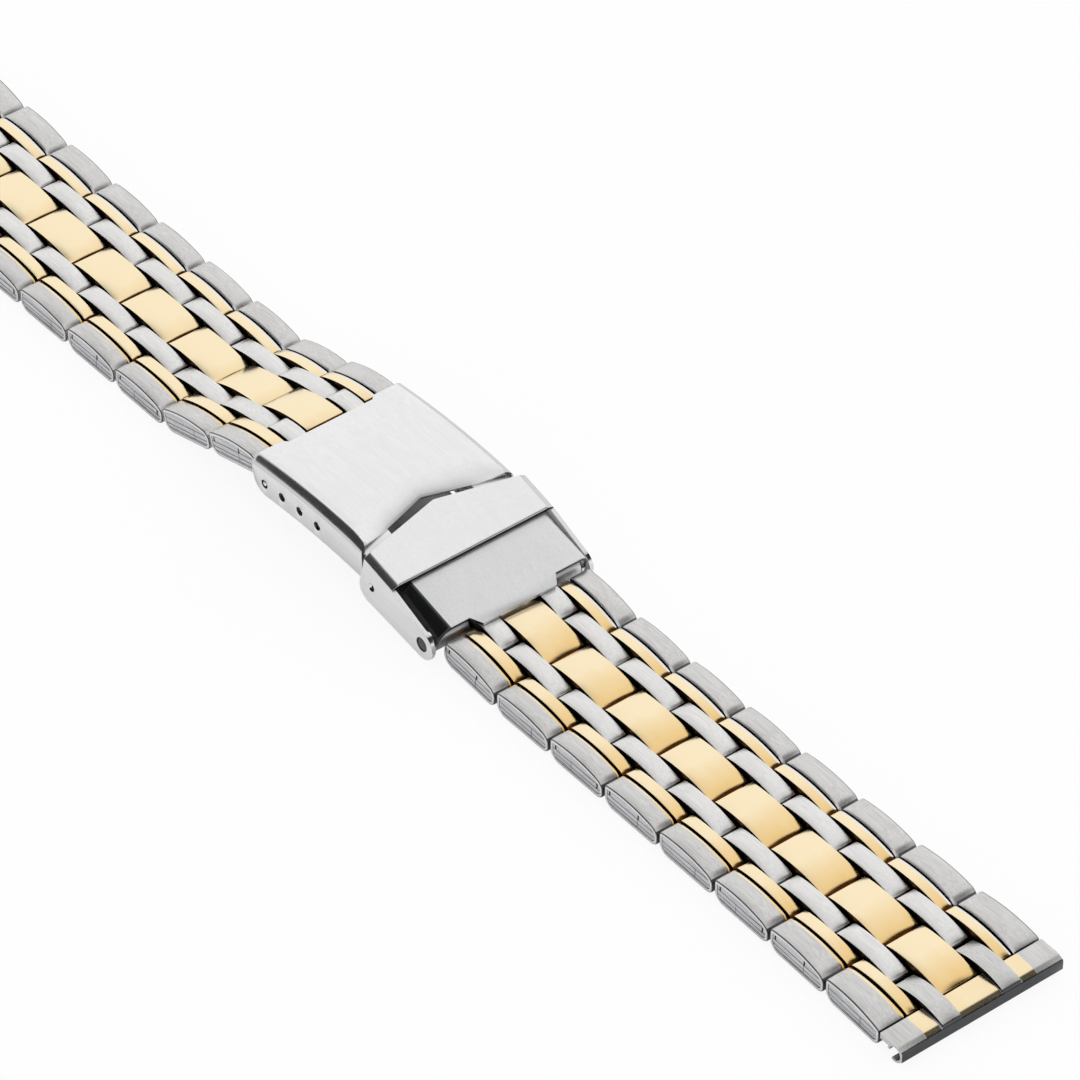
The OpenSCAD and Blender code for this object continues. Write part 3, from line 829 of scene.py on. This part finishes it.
for side, piece in zip(SIDES, ends):
    sign = 1 if side == "short" else -1
    end_x = pin_after(side, SIDES[side]).x / MM
    bevel_edges(piece, 0.05, 35)
    start_edit(piece)
    for edge in BAND_EDGES:
        for y in (-edge, edge):
            cut_all(y, 1)
    stop_edit()
    paint(piece, [link_steel, gold, dark_shade_steel, deep_shade_steel], lambda face: band_finish(face, end_x, sign))
    smooth(piece)
    piece.data.transform(Matrix.Scale(MM, 4))
    finish_piece(piece, f"{side}_end_piece", "brushed_steel", f"{side}_end_piece")
print("end pieces:", len(SIDES))

# %% [markdown]
# The clasp's cover is one sheet that is pressed over a form: an arched top, two side walls joined to it by a
# polished bend, and a wide V in its right edge, which is rolled down. It starts as a block whose open faces
# are deleted. The two long edges are bevelled round, then the sheet is divided, arched and given its
# thickness. The adjusting holes are drilled through both walls, and every cut edge is broken.

# %% Form of the clasp's cover
COVER_TILT = radians(0.6)
COVER_LEN = 18.0
COVER_HALF = 9.6
COVER_H = 4.0
COVER_INSET = 2.0
COVER_RISE = 0.45
COVER_CUTS = 45
HOLE_DROP = 2.55
BEND_R = 0.9
BEND_PROFILE = 0.42
VEE = 2.8
ROLL_LEN = 2.8
ROLL_DROP = 0.75
SIDE_BLEND = 3.0
SIDE_CUT = 7.4
NOTCH_Y = 5.3
NOTCH = 0.5
NOTCH_BLEND = 3.0
CORNER = 2.4
cover_radius = ((COVER_LEN / 2) ** 2 + COVER_RISE ** 2) / (2 * COVER_RISE)
cover_left, cover_right = -COVER_INSET, COVER_LEN - COVER_INSET
cover_mid = (cover_left + cover_right) / 2


def cover_arch(x):
    """Height of the cover's top over its first hole."""
    return (HOLE_DROP - sqrt(cover_radius ** 2 - cover_mid ** 2)
            + sqrt(cover_radius ** 2 - (x - cover_mid) ** 2))


def open_shell(name, low, high):
    """A block without its underside and its two ends, in edit mode."""
    shell = block(name, low, high)
    start_edit(shell)
    pick("FACE", lambda f: f.normal.z < -0.9 or abs(f.normal.x) > 0.9)
    bpy.ops.mesh.delete(type="FACE")
    return shell


cover = open_shell("clasp_shell", (cover_left, -COVER_HALF, -COVER_H), (cover_right, COVER_HALF, 0))
pick("EDGE", lambda e: runs(e, 0) and middle(e).z > -NEAR)
bpy.ops.mesh.bevel(offset=BEND_R, segments=12, profile=BEND_PROFILE, affect="EDGES")
pick("EDGE", lambda e: runs(e, 0))
bpy.ops.mesh.subdivide(number_cuts=COVER_CUTS)
for y in (-SIDE_CUT, -NOTCH_Y - NOTCH, -NOTCH_Y, 0, NOTCH_Y, NOTCH_Y + NOTCH, SIDE_CUT):
    cut_all(y, 1)
stop_edit()
for vertex in cover.data.vertices:
    place = vertex.co
    share = (place.x - cover_left) / COVER_LEN
    centre_share = max(0, 1 - abs(place.y) / COVER_HALF)
    place.x -= VEE * centre_share * share
    lift = cover_arch(place.x)
    from_edge = cover_right - VEE * centre_share - place.x
    on_top = min((COVER_HALF - abs(place.y)) / SIDE_BLEND, 1)
    rolled = ROLL_DROP * on_top * max(0, 1 - from_edge / ROLL_LEN) ** 2
    if place.z < -COVER_H / 2:
        near_corner = max(0, cover_left + CORNER - place.x)
        lift += CORNER - sqrt(CORNER ** 2 - near_corner ** 2)
    if abs(place.y) < NOTCH_Y + NEAR:
        place.x += NOTCH * max(0, 1 - (place.x - cover_left) / NOTCH_BLEND)
    place.z += lift - rolled
print("form of the cover:", len(cover.data.polygons), "faces")

# %% [markdown]
# The form has no thickness yet. Solidify gives it the sheet's, a row of round bars cuts the holes, and a
# narrow bevel breaks the edges. The bend was buffed after the top and the walls had been brushed, so each
# face gets its finish by how far it leans over. The bend is painted a mid grey and the walls of the holes
# grey as painted shade, and the cut edges of the V are painted bright as a painted highlight.

# %% Clasp cover
SHEET = 0.45
HOLE_STEP = 2.9
HOLE_R = 0.5
BEND_LEAN = (4, 86)
BEND_AREA = 2
LIT_EDGE = 0.12
holes = [(i * HOLE_STEP, cover_arch(i * HOLE_STEP) - HOLE_DROP) for i in range(4)]


def thicken(shell, thickness, even=False):
    """Gives a shell the thickness of its sheet, inwards."""
    sheet = shell.modifiers.new("sheet", "SOLIDIFY")
    sheet.thickness = thickness
    sheet.offset = -1
    sheet.use_even_offset = even
    apply_all(shell)


def drill(piece, tool):
    """Takes the tool's shape out of a piece, and the tool away."""
    hole = piece.modifiers.new("hole", "BOOLEAN")
    hole.object = tool
    hole.operation = "DIFFERENCE"
    hole.solver = "EXACT"
    apply_all(piece)
    bpy.data.objects.remove(tool)


def in_ring(face, x, z, radius):
    """Whether a face lies within a radius of the line across the bracelet through x and z."""
    return math.hypot(face.center.x - x, face.center.z - z) < radius


def lean(face):
    """Degrees by which a face leans over to either side of the bracelet."""
    return math.degrees(math.atan2(abs(face.normal.y), face.normal.z))


def cover_finish(face):
    """0 brushed top and walls, 1 the buffed bend in painted mid shade, 2 the cut edges in a painted highlight, 3
    the walls of the holes in painted shade.
    """
    out = abs(face.center.y)
    in_wall = out > COVER_HALF - 1 and abs(face.normal.y) < 0.9
    if in_wall and any(in_ring(face, x, z, HOLE_R + 0.1) for x, z in holes):
        return 3
    on_bend = out > COVER_HALF - BEND_R - 0.02 and BEND_LEAN[0] < lean(face) < BEND_LEAN[1]
    if on_bend and face.area < BEND_AREA:
        return 1
    edge_x = cover_right - VEE * (1 - out / COVER_HALF)
    return 2 if face.center.x > edge_x - LIT_EDGE and face.normal.x > 0.2 else 0


thicken(cover, SHEET, even=True)
drill(cover, joined("holes", [round_bar("hole", x, z, HOLE_R, -COVER_HALF - 1, COVER_HALF + 1)
                              for x, z in holes]))
bevel_edges(cover, 0.09, 50, 2)
paint(cover, [clasp_steel, buffed_mid_shade_steel, buffed_highlight_steel, groove_shade_steel], cover_finish)
smooth(cover)
bar = pins["long_half_link_hinge"]
cover_place = Matrix.Translation(bar) @ Matrix.Rotation(-COVER_TILT, 4, "Y") @ Matrix.Scale(MM, 4)
cover.data.transform(cover_place)
print("clasp cover:", len(cover.data.polygons), "faces")

# %% [markdown]
# Under the V, a thin lip carries on from the sheet on both sides of the fingernail gap and dips under the
# safety catch, and two ears hang from the top for the hinge pin of the outer blade. They are modelled as
# small blocks and joined to the shell.

# %% Lip and ears of the cover
LIP = 0.75
LIP_T = 0.3
LIP_BACK = 1.2
LIP_DIP = 0.35
EAR_Y = (7.6, 8.4)
EAR_SINK = 0.03
HINGE_X = 13.7
HINGE_DROP = 0.7
KNUCKLE_R = 0.9
ALMOST = 0.98


def lip_strip():
    """The strip beside the gap; its front edge follows the V."""
    strip = block("lip", (cover_right - LIP_BACK, NOTCH_Y, 0),
                  (cover_right + LIP, COVER_HALF - SHEET, LIP_T))
    start_edit(strip)
    bpy.ops.mesh.select_all(action="SELECT")
    bpy.ops.mesh.bevel(offset=0.05, segments=2, affect="EDGES")
    stop_edit()
    for vertex in strip.data.vertices:
        past = max(0, vertex.co.x - cover_right)
        vertex.co.x -= VEE * (1 - vertex.co.y / COVER_HALF)
        vertex.co.z += cover_arch(vertex.co.x) - ROLL_DROP - LIP_T - LIP_DIP * past / LIP
    return strip


def hinge_ear():
    """An ear: a block that ends in a round knuckle."""
    top = cover_arch(HINGE_X) - SHEET + EAR_SINK
    ear = block("ear", (HINGE_X - KNUCKLE_R, EAR_Y[0], -HINGE_DROP), (HINGE_X + KNUCKLE_R, EAR_Y[1], top))
    start_edit(ear)
    pick("FACE", lambda f: f.normal.z < -0.9)
    bpy.ops.mesh.extrude_region_move(TRANSFORM_OT_translate={"value": (0, 0, -KNUCKLE_R)})
    pick("EDGE", lambda e: runs(e, 1) and middle(e).z < -HINGE_DROP - KNUCKLE_R + NEAR)
    bpy.ops.mesh.bevel(offset=KNUCKLE_R * ALMOST, segments=8, affect="EDGES")
    stop_edit()
    return ear


extras = [pair_of(lip_strip(), "lips"), pair_of(hinge_ear(), "ears")]
for extra in extras:
    paint(extra, [clasp_steel])
    extra.data.transform(cover_place)
cover = smooth(joined("clasp_shell", [cover] + extras))
finish_piece(cover, "clasp_cover", "brushed_steel", "clasp_cover")
print("cover with lips and ears:", len(cover.data.polygons), "faces")

# %% [markdown]
# The end cap is a sheet bent over the inner blade's end. Its near side rolls down in a wide bend, painted
# dark as painted shade, and its far side in a tight one. Its front edge has a tab in the middle that covers
# the first links and lets the catch pin show on either side. The front edge beside the tab is painted dark as
# painted shade; the tab's part of it keeps the brushed steel, mirrors the first links and is light.

# %% End cap
CATCH_TILT = radians(14)
CAP_HALF = 9.53
CAP_T = 0.4
CAP_TOP = 2.34
CAP_LOW = 0.2
CAP_REAR = -6.64
CAP_FRONT = 1.1
CAP_BEND = 1.8
CAP_FAR_BEND = 0.7
EDGE_STRIP = 0.2
TAB = 1.25
TAB_Y = 5.4
TAB_RAMP = 0.8
TAB_BASE = 0.6
EYE_R = 1.2
NEAR_LEAN = 6
cap = open_shell("cap_shell", (CAP_REAR, -CAP_HALF, CAP_LOW), (CAP_FRONT, CAP_HALF, CAP_TOP))
for y, bend in ((-CAP_HALF, CAP_BEND), (CAP_HALF, CAP_FAR_BEND)):
    pick("EDGE", lambda e: runs(e, 0) and middle(e).z > CAP_TOP - NEAR and abs(middle(e).y - y) < NEAR)
    bpy.ops.mesh.bevel(offset=bend, segments=12, profile=BEND_PROFILE, affect="EDGES")
for x in (CAP_REAR + EDGE_STRIP, CAP_FRONT - EDGE_STRIP):
    cut_all(x, 0)
for y in (-TAB_Y, -TAB_Y + TAB_RAMP, TAB_Y - TAB_RAMP, TAB_Y):
    cut_all(y, 1)
cut_all(CAP_FRONT - TAB_BASE, 0)
pick("VERT", lambda v: v.co.x > CAP_FRONT - NEAR and abs(v.co.y) < TAB_Y - TAB_RAMP / 2
     and v.co.z > CAP_TOP - NEAR)
bpy.ops.transform.translate(value=(TAB, 0, 0))
thicken(cap, CAP_T)
bevel_edges(cap, 0.06, 50, 2)


def cap_finish(face):
    """0 brushed, 1 the near bend and the front edge beside the tab, painted dark as painted shade."""
    if face.normal.x > 0.5:
        return 1 if abs(face.center.y) > TAB_Y - TAB_RAMP else 0
    return 1 if face.center.y < CAP_BEND - CAP_HALF and lean(face) > NEAR_LEAN else 0


paint(cap, [cap_steel, dark_shade_steel], cap_finish)
eyes = pair_of(round_bar("eye", 0, 0, EYE_R, CAP_HALF - CAP_T, CAP_HALF), "eyes")
paint(eyes, [cap_steel, dark_shade_steel, buffed_highlight_steel], lambda face: 2)
catch_pin = pins["safety_catch_hinge"]
catch_place = Matrix.Translation(catch_pin) @ Matrix.Rotation(CATCH_TILT, 4, "Y") @ Matrix.Scale(MM, 4)
cap = smooth(joined("cap_shell", [eyes, cap]))
cap.data.transform(catch_place)
finish_piece(cap, "inner_blade", "brushed_steel", "blade_end_cap")
print("end cap:", len(cap.data.polygons), "faces")

# %% [markdown]
# The safety catch is pressed from one sheet too: a plate with a gable on its left and an arm down each side.
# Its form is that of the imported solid. A copy is laid level, the two edges where the arms turn down get a
# wide bend, the front edge a narrower one, and the rest a fine one. A small dimple in each arm snaps over the
# blade.

# %% Safety catch
PLATE_TOP = 2.95
PLATE_FAR = -10.06
PLATE_NEAR = -5.44
PLATE_STRIP = 0.35
CATCH_HALF = 10.2
CATCH_BEND = 0.95
CATCH_RIM = 0.22
PIN_RING = 1.05
DIMPLE = (-8.3, -0.1)
DIMPLE_R = 0.62
DIMPLE_OUT = 0.35
catch = soft_copy("safety_catch", "catch_shell")
catch.data.transform(catch_place.inverted() @ Matrix.Scale(MM, 4))
start_edit(catch)
bends = pick("EDGE", lambda e: runs(e, 0) and abs(middle(e).y) > CATCH_HALF - NEAR
             and middle(e).z > PLATE_TOP - NEAR)
bpy.ops.mesh.bevel(offset=CATCH_BEND, segments=10, profile=BEND_PROFILE, affect="EDGES")
for x in (PLATE_FAR + PLATE_STRIP, PLATE_NEAR - PLATE_STRIP):
    cut_all(x, 0)
fronts = pick("EDGE", lambda e: runs(e, 1) and middle(e).x > PLATE_NEAR - NEAR
              and middle(e).z > PLATE_TOP - NEAR)
bpy.ops.mesh.bevel(offset=CATCH_RIM, segments=3, affect="EDGES")
stop_edit()
bevel_edges(catch, 0.08, 35)
dents = []
for y in (-CATCH_HALF, CATCH_HALF):
    bpy.ops.mesh.primitive_uv_sphere_add(segments=24, ring_count=12, radius=DIMPLE_R,
                                         location=(DIMPLE[0], y + math.copysign(DIMPLE_OUT, y), DIMPLE[1]))
    dents.append(bpy.context.object)
dents = joined("dents", dents)
bpy.ops.object.transform_apply(location=True, rotation=True, scale=True)
drill(catch, dents)
print("bends:", bends, "front edges:", fronts, "safety catch:", len(catch.data.polygons), "faces")

# %% [markdown]
# The catch's faces are told apart by their area, their place and the way they face. The plate's front edge
# and the right half of a dimple's hollow are painted dark as painted shade, and the left half and the small
# edge faces bright as painted highlights. The bends are painted a mid grey, and the pin's ring and the arms'
# outer top lines grey, as painted shade. Weighted normals keep the big flat faces flat beside the fine bevels.

# %% Finish of the safety catch
SMALL_AREA = 0.5
PLAIN_AREA = 0.4
INNER_AREA = 0.3
ARM_LEAN = (8, 82)
FRONT_BAND = (0.3, 0.6)
DIMPLE_LIT = 0.2


def catch_finish(face):
    """0 brushed, 1 painted highlights on edges and dimples, 2 buffed bends in painted mid shade, 3 grey rings
    and lines and 4 dark places in painted shade, 5 matt faces.
    """
    place, normal = face.center, face.normal
    if face.area < SMALL_AREA and in_ring(face, *DIMPLE, DIMPLE_R):
        return 1 if place.x < DIMPLE[0] - DIMPLE_LIT else 4
    if face.area < SMALL_AREA and in_ring(face, 0, 0, PIN_RING):
        return 3
    if place.x > PLATE_NEAR - FRONT_BAND[0] and place.z > PLATE_TOP - FRONT_BAND[1] and normal.x > 0.3:
        return 4 if normal.x > FLANK_NORMAL else 2
    if place.z > PLATE_TOP - CATCH_BEND - 0.05 and ARM_LEAN[0] < lean(face) < ARM_LEAN[1]:
        return 2
    if normal.y * place.y < 0 and abs(place.y) > CATCH_HALF - 0.6 and face.area > INNER_AREA:
        return 5
    if face.area > PLAIN_AREA or max(abs(n) for n in normal) > 0.97:
        return 0
    outside = normal.y * place.y > 0 and abs(place.y) > CATCH_HALF - 0.15
    return 3 if outside and normal.z > 0.2 else 1


paint(catch, [clasp_steel, buffed_highlight_steel, buffed_mid_shade_steel, groove_shade_steel, deep_shade_steel, pressed_steel], catch_finish)
smooth(catch, weighted=True)
catch.data.transform(catch_place)
finish_piece(catch, "safety_catch", "brushed_steel", "safety_catch")
print("materials of the catch:", [m.name for m in catch.data.materials])

# %% [markdown]
# Two turned pins show their ends: the catch pin in the arms, and the spring bar, whose tips sit in the
# cover's first pair of holes. A bar's ends are inset and pushed out into a thinner tip with a rounded edge.

# %% Pins with their tips
def tipped_pin(name, radius, half, tip_r, tip_half, dome):
    """A bar across the bracelet with a thinner, domed tip at each end."""
    bar = round_bar(name, 0, 0, radius, -half, half)
    for end in (-1, 1):
        start_edit(bar)
        pick("FACE", lambda f: f.normal.y * end > 0.9)
        bpy.ops.mesh.inset(thickness=radius - tip_r, depth=0)
        bpy.ops.mesh.extrude_region_move(TRANSFORM_OT_translate={"value": (0, end * (tip_half - half), 0)})
        stop_edit()
    return bevel_edges(bar, dome, 40, 6)


def head_finish(face):
    """0 bright steel, 1 the part of a head that faces up into the arm, painted dark as painted shade."""
    return 1 if abs(face.normal.y) > 0.3 and face.normal.z > -0.25 else 0


spring_bar = tipped_pin("spring_bar_with_tips", radius=0.65, half=9.05, tip_r=0.28, tip_half=9.6, dome=0.12)
spring_bar.data.transform(Matrix.Translation(bar) @ Matrix.Scale(MM, 4))
paint(spring_bar, [buffed_highlight_steel, dark_shade_steel])
pin_bar = tipped_pin("catch_pin_with_heads", radius=0.75, half=9.5, tip_r=0.7, tip_half=10.12, dome=0.45)
pin_bar.data.transform(Matrix.Translation(catch_pin) @ Matrix.Scale(MM, 4))
paint(pin_bar, [buffed_highlight_steel, dark_shade_steel], head_finish)
finish_piece(smooth(spring_bar), "clasp_cover", "polished_steel", "adjuster_spring_bar")
finish_piece(smooth(pin_bar), "inner_blade", "polished_steel", "catch_pin")
print("pins:", spring_bar.name, pin_bar.name)

# %% [markdown]
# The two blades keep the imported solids. They only need their metal. The patterns that were copied from are
# removed.

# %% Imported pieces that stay
for node in ("outer_blade", "inner_blade"):
    kept = frame["nodes"][node]
    kept.data.materials.clear()
    kept.data.materials.append(cap_steel)
for pattern in patterns:
    bpy.data.objects.remove(pattern)
print("patterns removed:", len(patterns))

# %% [markdown]
# The table is white and runs out of sight. The camera looks almost through it into the white room, so it
# stays white. What is left of its own colour keeps a faint shadow under the bracelet. Links that swing below
# the table when the bracelet bends stay in sight too.

# %% Table
TABLE_SIZE = 6
TABLE_GAP = 0.01 * MM
CLEAR_SHARE = 0.9


def empty_tree(owner):
    """The node tree of a material or a world, without the nodes that it starts with."""
    owner.use_nodes = True
    owner.node_tree.nodes.clear()
    return owner.node_tree


def mixed_surface(tree, output, share, first, second):
    """Ends a tree with a mix of two shaders."""
    mixed = add_node(tree, "ShaderNodeMixShader",
                     {0: share.outputs[0], 1: first.outputs[0], 2: second.outputs[0]})
    add_node(tree, output, {"Surface": mixed.outputs[0]})


bpy.ops.object.select_all(action="DESELECT")
bpy.ops.mesh.primitive_plane_add(size=TABLE_SIZE, location=(0, 0, cad_box[0][2] - TABLE_GAP))
table = bpy.context.object
table.name = "table"
paper = bpy.data.materials.new("matt_white_paper")
tree = empty_tree(paper)
matt = add_node(tree, "ShaderNodeBsdfDiffuse", {"Color": linear("#F2F2F2")})
clear = add_node(tree, "ShaderNodeBsdfTransparent")
ray = add_node(tree, "ShaderNodeLightPath")
share = add_node(tree, "ShaderNodeMath", {0: ray.outputs["Is Camera Ray"], 1: CLEAR_SHARE},
                 operation="MULTIPLY")
mixed_surface(tree, "ShaderNodeOutputMaterial", share, matt, clear)
table.data.materials.append(paper)
print("table at height:", table.location.z)

# %% [markdown]
# Metal shows what stands round it. Soft lamps and a white room light the bracelet evenly, and dark felt cards
# outside the picture, as are usual for pictures of metal, put the dark lines on its bends and rounded ends.
# Only reflections see the cards, and each fades out towards its edge, so that its mirror image has no hard
# border.

# %% Light
scene = bpy.context.scene
scene.view_settings.view_transform = "Standard"
world = bpy.data.worlds.new("white_room")
scene.world = world
tree = empty_tree(world)
rays = add_node(tree, "ShaderNodeLightPath")
seen = add_node(tree, "ShaderNodeMath",
                {0: rays.outputs["Is Camera Ray"], 1: rays.outputs["Is Glossy Ray"]}, operation="MAXIMUM")
seen = add_node(tree, "ShaderNodeMath",
                {0: seen.outputs[0], 1: rays.outputs["Is Transmission Ray"]}, operation="MAXIMUM")
white = add_node(tree, "ShaderNodeBackground", {"Color": linear("#FFFFFF"), "Strength": 1.0})
room = add_node(tree, "ShaderNodeBackground", {"Color": linear("#FFFFFF"), "Strength": 0.95})
mixed_surface(tree, "ShaderNodeOutputWorld", seen, room, white)


def soft_lamp(name, direction, distance, size, watts):
    """A square lamp at a distance along a direction, turned towards the bracelet."""
    lamp = bpy.data.lights.new(name, "AREA")
    lamp.shape = "SQUARE"
    lamp.size = size
    lamp.energy = watts
    obj = bpy.data.objects.new(name, lamp)
    obj.visible_glossy = False
    scene.collection.objects.link(obj)
    direction = Vector(direction).normalized()
    obj.matrix_world = (Matrix.Translation(direction * distance)
                        @ direction.to_track_quat("Z", "Y").to_matrix().to_4x4())
    return obj


def felt_card(name, direction, distance, long_axis, length, width, colour, soft):
    """An oval card that faces the bracelet, seen only in reflections; soft is the share that fades out."""
    bpy.ops.object.select_all(action="DESELECT")
    bpy.ops.mesh.primitive_plane_add(size=1)
    card = bpy.context.object
    card.name = name
    card.data.transform(Matrix.Diagonal((length, width, 1, 1)))
    normal = Vector(direction).normalized()
    along = Vector(long_axis)
    along = (along - normal * along.dot(normal)).normalized()
    turn = Matrix((along, normal.cross(along), normal)).transposed().to_4x4()
    card.matrix_world = Matrix.Translation(normal * distance) @ turn
    material = bpy.data.materials.new(f"dark_felt_of_{name}")
    tree = empty_tree(material)
    place = add_node(tree, "ShaderNodeTexCoord").outputs["Object"]
    unit = add_node(tree, "ShaderNodeMapping", {"Vector": place, "Scale": (2 / length, 2 / width, 1)})
    round_fade = add_node(tree, "ShaderNodeTexGradient", {"Vector": unit.outputs[0]},
                          gradient_type="SPHERICAL")
    share = add_node(tree, "ShaderNodeMapRange", {"Value": round_fade.outputs["Fac"], "From Max": soft},
                     interpolation_type="SMOOTHSTEP")
    clear = add_node(tree, "ShaderNodeBsdfTransparent")
    felt = add_node(tree, "ShaderNodeBsdfDiffuse", {"Color": linear(colour)})
    mixed_surface(tree, "ShaderNodeOutputMaterial", share, clear, felt)
    card.data.materials.append(material)
    for ray in ("camera", "diffuse", "shadow", "transmission"):
        setattr(card, f"visible_{ray}", False)
    return card


lamps = [soft_lamp("key_lamp", (-0.5, 0.6, 1.0), distance=0.9, size=0.8, watts=0.6),
         soft_lamp("fill_lamp", (0.6, -0.9, 0.9), distance=1.0, size=0.8, watts=0.4)]
cards = [felt_card("near_card", (-0.4, -0.55, 0.73), distance=0.6, long_axis=(0, 0.8, 0.6),
                   length=1.2, width=0.9, colour="#484848", soft=0.2),
         felt_card("right_card", (0.55, 0.47, 0.69), distance=0.7, long_axis=(0.73, 0, -0.69),
                   length=0.95, width=0.62, colour="#262626", soft=0.6)]
print("lamps and cards:", [piece.name for piece in lamps + cards])
